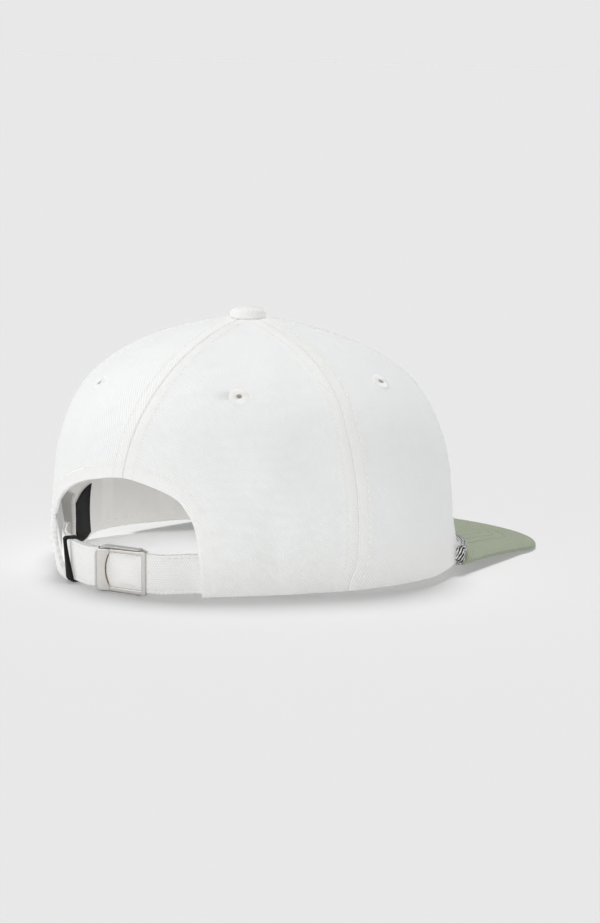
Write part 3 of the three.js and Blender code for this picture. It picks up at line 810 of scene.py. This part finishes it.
# Eyelets
def addEyelet(name, side, angle, height, paint):
    around, sections = eyelet["threads"] * 4, 18
    outer, hole = eyelet["outer"], eyelet["hole"]
    out = crownNormal(np.array(side * float(angle)), np.array(height))
    across = unit(np.cross([0, 0, 1.0], out))
    upwards = np.cross(out, across)
    turn = turns(around)[:, None]
    section = turns(sections)
    twist = turn + 0.05 * np.sin(section)
    thread = 1 + 0.15 * np.cos(eyelet["threads"] * twist)
    uneven = 1 + 0.05 * np.sin(5 * turn + side) + 0.04 * np.sin(11 * turn)
    flat = np.sign(np.cos(section)) * np.abs(np.cos(section)) ** 0.6
    radius = (outer + hole) / 2 + (outer - hole) / 2 * flat * thread * uneven
    lift = eyelet["thick"] / 2 * np.sin(section) * thread + 0.35
    # the hole goes on inwards as a short tube
    lift = lift - eyelet["deep"] * (1 - smoothstep(0.8, 1.6, radius - hole)) * (np.sin(section) < -0.1)
    # painted shade in and around the hole
    dark = 1 - smoothstep(hole + 0.1, hole + 0.4, radius)
    spoke = np.cos(turn)[..., None] * across + np.sin(turn)[..., None] * upwards
    middle = crownInside(side * angle, height, crown["wall"] / 2)
    points = middle + radius[..., None] * spoke + lift[..., None] * out
    places = joined(radius * 2, twist * (outer + hole) / 2)
    faces = gridFaces(around, sections, closed=(True, True))
    piece = makeMesh(name + "_threads", points, faces, places, {"doubled": 1, "painted_shade": 3.3 * dark})
    dress(piece, paint, "crown_cloth", name)


threadPaint = twillPaint("eyelet_thread", eyelet["look"])
for kind, (angle, height) in eyelet["spots"].items():
    for hand, side in (("_right", 1), ("_left", -1)):
        addEyelet(kind + hand, side, angle, height, threadPaint)

# Button
button = {
    "profile": (  # radius and height, from the middle of the top over a rounded rim, down and under
        (0.02, 4.2),
        (3, 4.1),
        (5.7, 3.65),
        (7.2, 2.7),
        (7.75, 1.4),
        (7.75, 0.2),
        (7.45, -0.55),
        (6.6, -0.75),
        (3, -0.2),
        (0.02, -0.1),
    ),
    "lift": 0.3,
}


def addButton():
    around, sections = 96, 40
    turn = turns(around)[:, None]
    share = np.linspace(0, 1, sections)
    radius, rise = routeThrough(button["profile"], sections).T
    gather = 0.10 * bell(share - 0.52, 0.12) * np.sin(26 * turn + 2 * np.sin(3 * turn))
    radius = radius + gather + 0.05 * np.sin(2 * turn + 1) * share
    x, y = radius * np.cos(turn), radius * np.sin(turn)
    faces = gridFaces(around, sections, flip=True, closed=(True, False)).tolist()
    first = np.arange(around) * sections
    faces += [first.tolist(), (first[::-1] + sections - 1).tolist()]
    points = joined(x, y + crown["setBack"], rise + crown["height"] + button["lift"])
    piece = makeMesh("button_cover", points, faces, joined(x * 1.1, y * 1.1 + rise * 0.8))
    dress(piece, crownPaint, "crown_cloth", "button")


addButton()
print("eyelets and button made")

# Brim
brim = {
    "thick": 3.2,
    "endAngle": 113,
    "drop": 0.14,
    "gap": 0.35,
    "outline": (  # a straight side, then a curve that two pulls bend to the tip
        (-89.6, -39),
        (-83.3, -102.6),
        (-86.9, -135.3),
        (-54.9, -153.5),
        (0, -153.5),
    ),
    "firstRow": 14.5,
    "rowGap": 5.75,
    "rows": 6,
    "thin": 1.7,
    "thinWide": 18,
    "thinFrom": (-148, -112),
    "blunt": 0.75,
    "look": {
        "colour": tone(0.38, 0.425, 0.315),
        "furrow": tone(0.215, 0.25, 0.17),
        "faded": tone(0.42, 0.46, 0.35),
        "sewn": tone(0.30, 0.34, 0.25),
        "turn": 37.5,
        "pitch": 1.22,
        "yarn": 1.9,
        "depth": 0.00026,
    },
    "thread": {"colour": tone(0.13, 0.15, 0.10), "furrow": tone(0.10, 0.12, 0.08)},
}


def brimOutline(count):
    end, p0, p1, p2, p3 = np.array(brim["outline"])
    t = np.linspace(0, 1, 400)[:, None]
    corner = p0 * (1 - t) ** 3 + 3 * p1 * t * (1 - t) ** 2 + 3 * p2 * t**2 * (1 - t) + p3 * t**3
    half = evenly(np.concatenate([[end], corner]), count)
    return np.concatenate([half, half[-2::-1] * np.array([-1, 1])])


def beyondRim(flat):
    # how far a spot lies outside the crown's lower edge
    angle = np.degrees(np.arctan2(-flat[..., 0], flat[..., 1]))
    return np.linalg.norm(flat, axis=-1) - crownRadius(angle, 0)


def brimLevel(flat, away):
    # middle height and half the thickness: beside the crown the brim thins out towards its edge, from above
    thin = smoothstep(*brim["thinFrom"], flat[..., 1]) * np.maximum(0, 1 - away / brim["thinWide"]) ** 2
    half = (brim["thick"] - brim["thin"] * thin) / 2
    return half - brim["drop"] * np.maximum(0, beyondRim(flat)), half


def addBrim():
    columns = 281
    outline = brimOutline((columns + 1) // 2)
    angles = np.linspace(brim["endAngle"], 360 - brim["endAngle"], columns)
    start = crownInside(angles, np.zeros(columns), np.full(columns, -brim["gap"]))[:, :2]
    nose = brim["thick"] / 2
    # top from the crown outwards, round a blunt nose, and back underneath
    upper = [(share, 0.0, 1.0) for share in np.linspace(0, 1, 120) ** 0.92]
    tip = []
    for bend in np.radians(np.linspace(84, -84, 13)):
        steep = math.copysign(abs(math.sin(bend)) ** 0.8, bend)
        tip.append((1.0, nose * brim["blunt"] * math.cos(bend) ** 0.6, steep))
    lower = [(share, 0.0, -1.0) for share, _, _ in reversed(upper)]
    share, further, up = np.array(upper + tip + lower).T
    heading = unit(outline - start)[:, None]
    pulled = (outline - start)[:, None] - heading * nose * brim["blunt"]
    flat = start[:, None] + pulled * share[:, None] + heading * further[:, None]
    fine = brimOutline(500)
    away = nearest(flat, fine)
    middle, half = brimLevel(flat, away)
    rows = [brim["firstRow"] + brim["rowGap"] * k for k in range(brim["rows"])]
    dent = sum(0.16 * bell(away - row, 0.5) for row in rows)
    quilt = 0.06 * np.cos(2 * np.pi * (away - brim["firstRow"]) / brim["rowGap"]) * smoothstep(12, 16, away)
    bow = 0.1 * ripple(flat[..., 0], flat[..., 1], 5, 70, 2) * smoothstep(0, 12, away)
    level = middle + up * half * (1 - (dent + quilt) / nose) + bow
    count = len(up)
    faces = gridFaces(columns, count, closed=(False, True)).tolist()
    faces += [list(range(count)), [(columns - 1) * count + j for j in reversed(range(count))]]
    # the cloth's pattern runs on over the nose
    places = flat + heading * (nose * (1 - up) * (share == 1.0))[:, None]
    sewn = sum(bell(away - row, 0.35) for row in rows) * 0.5
    points = np.concatenate([flat, level[..., None]], axis=-1)
    piece = makeMesh("brim_cover", points, faces, places, {"doubled": sewn})
    dress(piece, brimPaint("brim_cloth", brim["look"]), "brim_cloth", "brim")
    sewRows = []
    for row in rows:
        line = fine + leftOf(fine) * row
        line = evenly(line[(beyondRim(line) > 5) & (nearest(line, fine) > row - 0.15)], 300)
        middle, half = brimLevel(line, row)
        for face in (1.0, -1.0):
            seam = joined(*line.T, middle + face * (half - 0.04))
            normals = np.tile([0, 0, face], (len(line), 1))
            sewRows.append(stitches(seam, normals, length=1.5, gap=1.1, width=0.62, tall=0.36))
    thread = brimPaint("brim_thread", {**brim["look"], **brim["thread"]})
    addStitches("brim_stitches", sewRows, thread, "brim_cloth")


addBrim()
print("brim made")

# Rope along the joint of crown and brim
rope = {
    "radius": 2.15,
    "gap": 0.3,
    "turnAngle": 117.5,
    "ends": (  # angle, height, distance from the cloth
        (112.4, 0.6, 1.4),
        (112.9, 1.9, 2.2),
        (113.5, 3.8, 2.45),
        (114.3, 6.0, 2.45),
    ),
    "strands": 8,
    "strand": 0.5,
    "slim": 0.5,  # width of the white strands as a share of the black ones
    "lay": 21,  # length of one full turn of a strand
    "over": 0.08,
    "above": 0.07,  # how far the white strands stand out over the black ones
    "looks": {
        "white": {"colour": tone(0.86, 0.86, 0.86), "furrow": tone(0.6, 0.6, 0.61)},
        "black": {"colour": tone(0.014, 0.014, 0.018), "furrow": tone(0.006, 0.006, 0.008)},
    },
}


def ropeLine(count):
    away = rope["radius"] + rope["gap"]
    laid = brim["thick"] + away - brim["drop"] * rope["radius"]
    # each end turns down and in under the crown's lower edge
    ends = np.array(rope["ends"])
    angles = np.linspace(rope["turnAngle"], 360 - rope["turnAngle"], 17)
    middle = joined(angles, laid, away)
    far = ends[::-1] * [-1, 1, 1] + [360, 0, 0]
    angle, height, away = np.concatenate([ends, middle, far]).T
    return routeThrough(crownInside(angle, height, -away), count)


def addRope():
    line = ropeLine(900)
    along = headings(line)
    side = unit(np.cross(along, [0, 0, 1.0]))
    for k in range(1, len(line)):
        # carry the side vector along, so that it never flips
        side[k] = unit(side[k - 1] - along[k] * np.dot(side[k - 1], along[k]))
    over = np.cross(along, side)
    length = lengths(line)
    rate = 2 * math.pi / rope["lay"]
    taper = np.minimum(1, np.minimum(length, length[-1] - length) / 1.2) ** 0.5
    core = rope["radius"] - rope["strand"] - rope["over"] * 0.5
    sides = 6
    turn = turns(sides)[:, None]
    for kind, way, slim in (("white", 1, rope["slim"]), ("black", -1, 1)):
        rings = []
        for start in turns(rope["strands"]):
            angle = (start + way * rate * length)[:, None]
            radius = core + way * (rope["over"] * np.cos(rope["strands"] * rate * length) + rope["above"])
            out = np.cos(angle) * side + np.sin(angle) * over
            centre = line + out * (radius * taper)[:, None]
            across = np.cross(headings(centre), out)
            wide = across[:, None] * np.cos(turn) * rope["strand"] * 1.25 * slim
            high = out[:, None] * np.sin(turn) * rope["strand"] * 0.8
            rings.append((centre[:, None] + (wide + high) * taper[:, None, None])[::2])
        points, faces = tubes(np.array(rings))
        places = joined(turns(sides), length[::2, None])
        piece = makeMesh("rope_" + kind + "_strands", points, faces, np.stack([places] * len(rings)))
        dress(piece, yarnPaint("rope_" + kind + "_yarn", rope["looks"][kind]), "rope_yarn", "rope")


addRope()
print("rope made")

# Sweatband and label
band = {
    "thick": 1.2,
    "low": 0.6,
    "high": 30,
    "endAngle": 33,
    "inset": 2.15,
    "strapInset": 5.8,
    "room": (50, 62),
    "fold": (-76, 15, 7, 1.5),  # angle, spread, distance at the lower edge and at the upper one
    "seams": (-99, -121, 99, 121, 180),
    "hem": 4.6,
    "stitchRows": (4.6, 27.5),
    # the band is the same white cotton as the crown, painted darker grey for the shade inside the crown
    "look": {
        "colour": tone(0.62, 0.61, 0.585),
        "doubled": tone(0.68, 0.665, 0.63),
        "shade": tone(0.50, 0.49, 0.47),
        "depth": 0.0001,
        "sheen": 0.08,
    },
}
label = {
    "far": (-86, -91),  # angle of the far edge, at its foot and at its top
    "near": (-68, -64.5),
    "low": 2.5,
    "high": (24.5, 15.5),  # at the far edge and at the near one
    "thick": 0.7,
    "gap": 0.4,
}
tape = {
    "colour": tone(0.004, 0.0045, 0.0045),
    "light": tone(0.013, 0.014, 0.014),
    "rib": 0.9,
    "weave": 0.55,
}
blackTape = tapePaint("black_tape", tape)


def bandPoint(angle, height, further):
    angle, height = together(angle, height)
    signed = signedAngle(angle)
    room = 1 - smoothstep(*band["room"], np.abs(signed))
    middle, spread, low, high = band["fold"]
    stood = (low + (high - low) * height / band["high"]) * bell(signed - middle, spread)
    onWall = crownInside(angle, height, band["inset"] + stood + further)
    byStrap = crownInside(angle, np.full(height.shape, band["low"]), band["strapInset"] + further)
    byStrap[..., 2] = height
    return onWall + (byStrap - onWall) * room[..., None]


def addBand():
    paint = twillPaint("shaded_band_twill", band["look"])
    angles = np.linspace(band["endAngle"], 360 - band["endAngle"], 420)
    heights = np.concatenate([[0.6, 0.75, 1.0, 1.4], np.linspace(2, 29, 22), [29.4, 29.8, 30]])
    angle, height = np.meshgrid(angles, heights, indexing="ij")
    arc = angle * perDegree
    seams = np.min([np.abs(signedAngle(angle) - seam) for seam in band["seams"]], axis=0) * perDegree
    strip = 1 - smoothstep(3.2, 4.2, seams)
    hem = 1 - smoothstep(band["hem"], band["hem"] + 1, height)
    relief = 0.18 * ripple(arc, height, 71, 26) + 0.22 * strip + 0.25 * hem
    relief = relief - 0.3 * bell(seams, 0.5) - 0.2 * bell(height - band["hem"], 0.5)
    edge = sunk(np.minimum(height - band["low"], band["high"] - height), 0.5)
    outer = bandPoint(angle, height, edge)
    inner = bandPoint(angle, height, band["thick"] + relief * 0.6 - edge)
    piece = shell("sweatband_cloth", outer, inner, joined(arc, height), {"doubled": np.maximum(strip, hem)})
    dress(piece, paint, "band_cloth", "sweatband")
    rows = []
    for level in band["stitchRows"]:
        line = bandPoint(angles, level, band["thick"] + 0.12)
        rows.append(stitches(line, -unit(line * [1, 1, 0])))
    addStitches("band_stitches", rows, paint, "band_cloth")


def addLabel():
    # its far edge leans, and its near end is lower
    across, share = np.meshgrid(np.linspace(0, 1, 60), np.linspace(0, 1, 40), indexing="ij")
    top = np.interp(across, [0, 1], label["high"])
    height = label["low"] + (top - label["low"]) * share
    far, near = np.interp(share, [0, 1], label["far"]), np.interp(share, [0, 1], label["near"])
    angle = far + (near - far) * across
    arc = angle * perDegree
    border = np.min([height - label["low"], top - height, arc - arc[0], arc[-1] - arc], axis=0)
    rim = 0.12 * (1 - smoothstep(1.2, 1.8, border))
    start = band["thick"] + label["gap"]
    edge = sunk(border, 0.3)
    outer = bandPoint(angle, height, start + edge * 0.5)
    inner = bandPoint(angle, height, start + label["thick"] + rim - edge)
    piece = shell("label_cloth", outer, inner, joined(arc, height))
    dress(piece, blackTape, "black_tape", "inner_label")


addBand()
addLabel()
print("band and label made")

# Straps and keeper
strap = {
    "thick": 1.3,
    "width": 16.8,
    "inset": 2.8,
    "height": 9.6,
    "lift": 0.4,
    "right": ((-29.6, 81.5), (-24, 86.5), (-18.2, 90.9)),
    "left": ((17.5, 92.2), (24.5, 89.4), (31, 86)),
    "hiddenRight": (44, 36, 29, 23.5),
    "hiddenLeft": (-24.5, -27, -30, -36, -42, -49),
    "behind": 1.65,
    "underClasp": 2.75,
    "overlap": 10,
    "rise": 1.3,
    "halfWindow": 6.6,
    "stitchAt": 1.6,  # from the strap's edge
    "look": {
        "colour": tone(0.93, 0.93, 0.925),
        "furrow": tone(0.74, 0.735, 0.715),
        "row": 0.95,
        "dash": 1.05,
        "slant": 1.0,
        "depth": 0.00016,
    },
    "thread": tone(0.80, 0.77, 0.72),
}
clasp = {"middle": (-1.2, 93.3, 10.4), "length": 25.2, "bar": 2, "plate": 7}
webbing = webbingPaint("webbing", strap["look"])


def byClasp(across, behind=0.0):
    x, y, z = clasp["middle"]
    return (x + across, y - behind, z)


def strapSpots():
    low = strap["height"] - strap["width"] / 2

    def hidden(angles):
        points = crownInside(np.array(angles), low, strap["inset"])
        return [(x, y, strap["height"]) for x, y, _ in points]

    def seen(spots):
        return [(x, y, strap["height"] + strap["lift"]) for x, y in spots]

    right = hidden(strap["hiddenRight"]) + seen(strap["right"])
    middle = [byClasp(across) for across in (-12.5, -8, -3, 3, 8, 12.5)]
    left = seen(strap["left"]) + hidden(strap["hiddenLeft"])
    return right, middle, left


def outwards(line):
    along = headings(line)
    return unit(joined(-along[:, 1], along[:, 0], 0))


def leftBehind(behind, count):
    line = routeThrough(strapSpots()[2], count)
    return line - outwards(line) * behind


def bulge(x, up):
    # the long strap swells through the clasp's window
    half = clasp["length"] / 2 - clasp["bar"]
    along = np.clip((x - clasp["middle"][0] + half) / (2 * half - clasp["plate"] + clasp["bar"]), 0, 1)
    across = np.maximum(0, 1 - (up / strap["halfWindow"]) ** 4)
    return strap["rise"] * np.sin(np.pi * along) ** 1.5 * across


def addStrap(name, node, line, swell):
    rim = np.array([0.92, 0.96, 0.985, 1])
    shares = np.concatenate([-rim[::-1], np.linspace(-0.88, 0.88, 31), rim])
    half = strap["width"] / 2
    out = outwards(line)
    length = lengths(line)[:, None]
    x = line[:, :1]
    up = shares * half + 0.14 * np.sin(2 * np.pi * length / 1.9) * np.sign(shares) * np.abs(shares) ** 12
    edge = sunk((1 - np.abs(shares)) * half, 0.45) + sunk(np.minimum(length, length[-1] - length), 0.5)
    groove = 0.12 * bell(np.abs(up) - half + strap["stitchAt"], 0.45)
    lift = swell * bulge(x, up) + 0.07 * ripple(length, up, 83, 22, 2)
    face = strap["thick"] / 2 - edge - groove
    middle = line[:, None] + up[..., None] * np.array([0, 0, 1.0])
    outer = middle + out[:, None] * (lift + face)[..., None]
    inner = middle + out[:, None] * (lift - face)[..., None]
    piece = shell(name, outer[::-1], inner[::-1], joined(length, up)[::-1])
    dress(piece, webbing, "webbing", node)
    rows = []
    for height in (strap["stitchAt"] - half, half - strap["stitchAt"]):
        path = line + [0, 0, height] + out * (swell * bulge(x, height) + strap["thick"] / 2 - 0.1)
        rows.append(stitches(path, out, length=1.9, gap=0.9, width=0.45, tall=0.3))
    return rows


def addStraps():
    right, middle, left = strapSpots()
    rows = addStrap("long_strap_web", "strap_long", routeThrough(right + middle + left, 260), 1)
    end = clasp["length"] / 2
    under = [byClasp(across, strap["underClasp"]) for across in (end - strap["overlap"], end - 2)]
    shortLine = routeThrough([*under, *leftBehind(strap["behind"], 25)], 140)
    rows += addStrap("short_strap_web", "strap_short", shortLine, 0)
    thread = webbingPaint("webbing_thread", {**strap["look"], "colour": strap["thread"]})
    addStitches("strap_stitches", rows, thread, "webbing")


keeper = {
    "across": 32.2,
    "width": 8.2,
    "inner": 4.0,
    "wall": 0.6,
    "tall": 17.8,
    "bend": 1.2,
    "lean": 17,
    "out": 1.2,
    "snug": 0.75,
    "fold": 0.9,
    "low": 0.955,
}


def keeperLoop():
    # round the loop, in the direction out and up, with round corners
    bend = keeper["bend"]
    x = (keeper["inner"] + keeper["wall"]) / 2 - bend
    y = (keeper["tall"] + keeper["wall"]) / 2 - bend
    loop = []
    for (right, up), start in (((x, y), 0), ((-x, y), 90), ((-x, -y), 180), ((x, -y), 270)):
        for angle in np.radians(np.linspace(start, start + 90, 9)):
            loop.append((right + bend * math.cos(angle), up + bend * math.sin(angle)))
    return evenly(np.array(loop + [loop[0]]), 121)[:-1]


def addKeeper():
    line = leftBehind(strap["behind"] / 2, 400)
    out = outwards(line)
    length = lengths(line)
    middle = length[int(np.argmax(line[:, 0] > keeper["across"]))]
    loop = keeperLoop()
    heading = unit(np.roll(loop, -1, axis=0) - np.roll(loop, 1, axis=0))
    normal = joined(heading[:, 1], -heading[:, 0])
    # the tape's section: its outer face and one edge, and the same turned round
    half, thick = keeper["width"] / 2, keeper["wall"] / 2
    section = [(x, thick) for x in np.linspace(-half + 0.3, half - 0.3, 15)]
    section += [(half - 0.08, thick * 0.6), (half, 0), (half - 0.08, -thick * 0.6)]
    wide, deep = np.concatenate([section, -np.array(section)]).T
    swell = 0.05 * np.cos(wide * 2 * math.pi / 1.5) * np.sign(deep)
    flat = loop[:, None] + normal[:, None] * (deep + swell)[:, None]
    # the loop follows the bend of the straps and leans with its upper end away from the clasp
    place = middle + wide + flat[..., 1] * math.tan(math.radians(keeper["lean"]))
    spot = between(place, length, line)
    away = unit(between(place, length, out))
    right, up = flat[..., 0], flat[..., 1] * keeper["low"]
    right = np.where(right < 0, right * keeper["snug"], right)
    right = right + keeper["fold"] * (deep > 0) * smoothstep(0, 1.5, right)
    right = right + keeper["out"] * smoothstep(0, 1.5, right) * (0.5 + up / keeper["tall"])
    points = spot + right[..., None] * away + up[..., None] * np.array([0, 0, 1.0])
    count, sides = up.shape
    places = joined(wide, np.arange(count)[:, None] * 0.37)
    piece = makeMesh("keeper_tape", points, gridFaces(count, sides, flip=True, closed=(True, True)), places)
    dress(piece, blackTape, "black_tape", "keeper_loop")


addStraps()
addKeeper()
print("straps and keeper made")

# Clasp
metal = {
    "voxel": 0.00016,
    "smoothing": 5,
    "flangeFrom": 8.9,
    "flangeShort": 0.78,
    "colour": tone(0.58, 0.57, 0.55),
    "dull": tone(0.44, 0.425, 0.40),
    "worn": tone(0.78, 0.765, 0.74),
    # colour of the painted shade where the metal faces inwards or down
    "edge": tone(0.20, 0.13, 0.08),
    "rough": 0.24,
}


def ofVertices(mesh, name):
    values = np.zeros(len(mesh.vertices) * 3)
    mesh.vertices.foreach_get(name, values)
    return values.reshape(-1, 3)


def addMetal(node, name, body, paint):
    # the plain solid of this piece, with its edges rounded as after casting and polishing
    piece = addObject(name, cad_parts[node].data.copy())
    remesh = piece.modifiers.new("remesh", "REMESH")
    remesh.mode = "VOXEL"
    remesh.voxel_size = metal["voxel"]
    remesh.use_smooth_shade = True
    soften = piece.modifiers.new("soften", "SMOOTH")
    soften.iterations = metal["smoothing"]
    soften.factor = 0.5
    bpy.context.view_layer.update()
    ready = bpy.data.meshes.new_from_object(piece.evaluated_get(bpy.context.evaluated_depsgraph_get()))
    piece.modifiers.clear()
    piece.data = ready
    ready.materials.clear()
    ready.polygons.foreach_set("use_smooth", [True] * len(ready.polygons))
    middle = grounded(clasp["middle"])
    if node == "clasp_base":
        # the cast flanges above and below the lever are shorter than the plain ones
        spots = ofVertices(ready, "co")
        tall = np.abs(spots[:, 2] - middle[2]) * 1000
        beyond = smoothstep(metal["flangeFrom"], metal["flangeFrom"] + 0.8, tall)
        spots[:, 0] += (metal["flangeShort"] - 1) * beyond * (spots[:, 0] - middle[0])
        ready.vertices.foreach_set("co", spots.ravel())
        ready.update()
    # painted shade where the metal faces inwards or down, in the clasp's own directions: across, out, up
    across, out, up = ofVertices(ready, "normal").T
    x, _, z = ((ofVertices(ready, "co") - middle) * 1000).T
    inner = clasp["length"] / 2 - clasp["plate"]
    bow = (x > inner - 1) * (x < inner + 3) * (1 - smoothstep(5.6, 7.6, np.abs(z)))
    shadeShare = np.maximum(smoothstep(0.35, 0.8, -across) * bow, smoothstep(0.5, 0.95, -up) * 0.75)
    shadeShare = shadeShare * (1 - smoothstep(0.6, 0.9, out))
    ready.attributes.new("painted_shade", "FLOAT", "POINT").data.foreach_set("value", shadeShare)
    dress(piece, paint, "nickel", node, body=body)


nickel = nickelPaint("nickel", metal)
addMetal("clasp_base", "clasp_channel", "cap", nickel)
addMetal("clasp_lever", "clasp_frame", "lever", nickel)
print("clasp made")

# Floor and light
studio = {
    "floor": 0.45,
    "far": 60,  # metres to each side
    "seen": 0.807,  # the floor's and the background's brightness
    "fill": 0.22,
    "suns": [  # name, from, brightness, size in degrees, shadow, what it lights
        ("shade", (0.24, -0.30, 1.0), None, 28, True, "floor"),
        ("even", (0.0, 0.0, 1.0), 0.64, 28, False, "floor"),
        ("top", (0.24, -0.30, 1.0), 0.61, 36, True, "cap"),
        ("left", (0.35, 1.0, 0.20), 0.57, 60, False, "outside"),
        ("right", (-1.0, 0.0, 0.16), 0.34, 60, False, "cap"),
    ],
    "inside": {"place": (26, -6, 58), "size": 0.11, "power": 0.027, "spread": 110},
    "dark": 0.14,
}


def addLamp(name, kind, floor, only, settings):
    # a lamp lights the floor, the cap, or the cap's outside
    light = bpy.data.lights.new(name, kind)
    for key, value in settings.items():
        setattr(light, key, value)
    lamp = addObject(name, light)
    group = bpy.data.collections.new(name + "_lights")
    group.objects.link(floor)
    if only == "outside":
        group.objects.link(bpy.data.objects["sweatband_cloth"])
        group.objects.link(bpy.data.objects["label_cloth"])
    if only != "floor":
        for member in group.collection_objects:
            member.light_linking.link_state = "EXCLUDE"
    lamp.light_linking.receiver_collection = group
    return lamp


def addFloor():
    mesh = bpy.data.meshes.new("floor")
    far = studio["far"]
    mesh.from_pydata([(-far, -far, 0), (far, -far, 0), (far, far, 0), (-far, far, 0)], [], [(0, 1, 2, 3)])
    floor = addObject("floor", mesh)
    grey = tone(studio["floor"], studio["floor"], studio["floor"])
    mesh.materials.append(Paint("floor").surface(grey, 1.0, specular=0.0))
    return floor


def addLamps(floor):
    # the sun that casts the shadow makes up what the floor still lacks
    lacking = studio["seen"] / studio["floor"] - studio["fill"]
    for name, heading, strength, size, shadow, only in studio["suns"]:
        if strength and only == "floor":
            lacking -= strength * Vector(heading).normalized().z
    for name, heading, strength, size, shadow, only in studio["suns"]:
        # strength is the brightness that the sun alone gives a white surface that faces it
        strength = strength or lacking / Vector(heading).normalized().z
        settings = {"energy": strength * math.pi, "angle": math.radians(size), "use_shadow": shadow}
        lamp = addLamp(name, "SUN", floor, only, settings)
        lamp.rotation_mode = "QUATERNION"
        lamp.rotation_quaternion = Vector(heading).to_track_quat("Z", "Y")
    # a lamp inside the cap brightens the floor seen through the opening
    inside = studio["inside"]
    settings = {"shape": "DISK", "size": inside["size"], "energy": inside["power"]}
    settings["spread"] = math.radians(inside["spread"])
    lamp = addLamp("inside", "AREA", floor, "floor", settings)
    lamp.location = grounded(inside["place"])
    lamp.visible_camera = False


def addWorld():
    world = bpy.data.worlds.new("studio")
    bpy.context.scene.world = world
    paint = Paint("studio", world)
    ray = paint.node("ShaderNodeLightPath")
    heading = paint.node("ShaderNodeTexCoord").output("Generated")
    level = paint.node("ShaderNodeSeparateXYZ", None, [heading])
    shine = wave(level * 2.0 + level.output("Y"), 1.3) ** 1.5 * (1.1 - studio["dark"]) + studio["dark"]
    fill = ray.output("Is Camera Ray") * (studio["seen"] - studio["fill"]) + studio["fill"]
    glossy = ray.output("Is Glossy Ray")
    strength = fill * (1 - glossy) + shine * glossy
    sky = paint.node("ShaderNodeBackground", None, {"Color": tone(1, 1, 1), "Strength": strength})
    paint.node("ShaderNodeOutputWorld", None, {"Surface": sky})
    bpy.context.scene.view_settings.view_transform = "Standard"


addLamps(addFloor())
addWorld()
print("studio made")
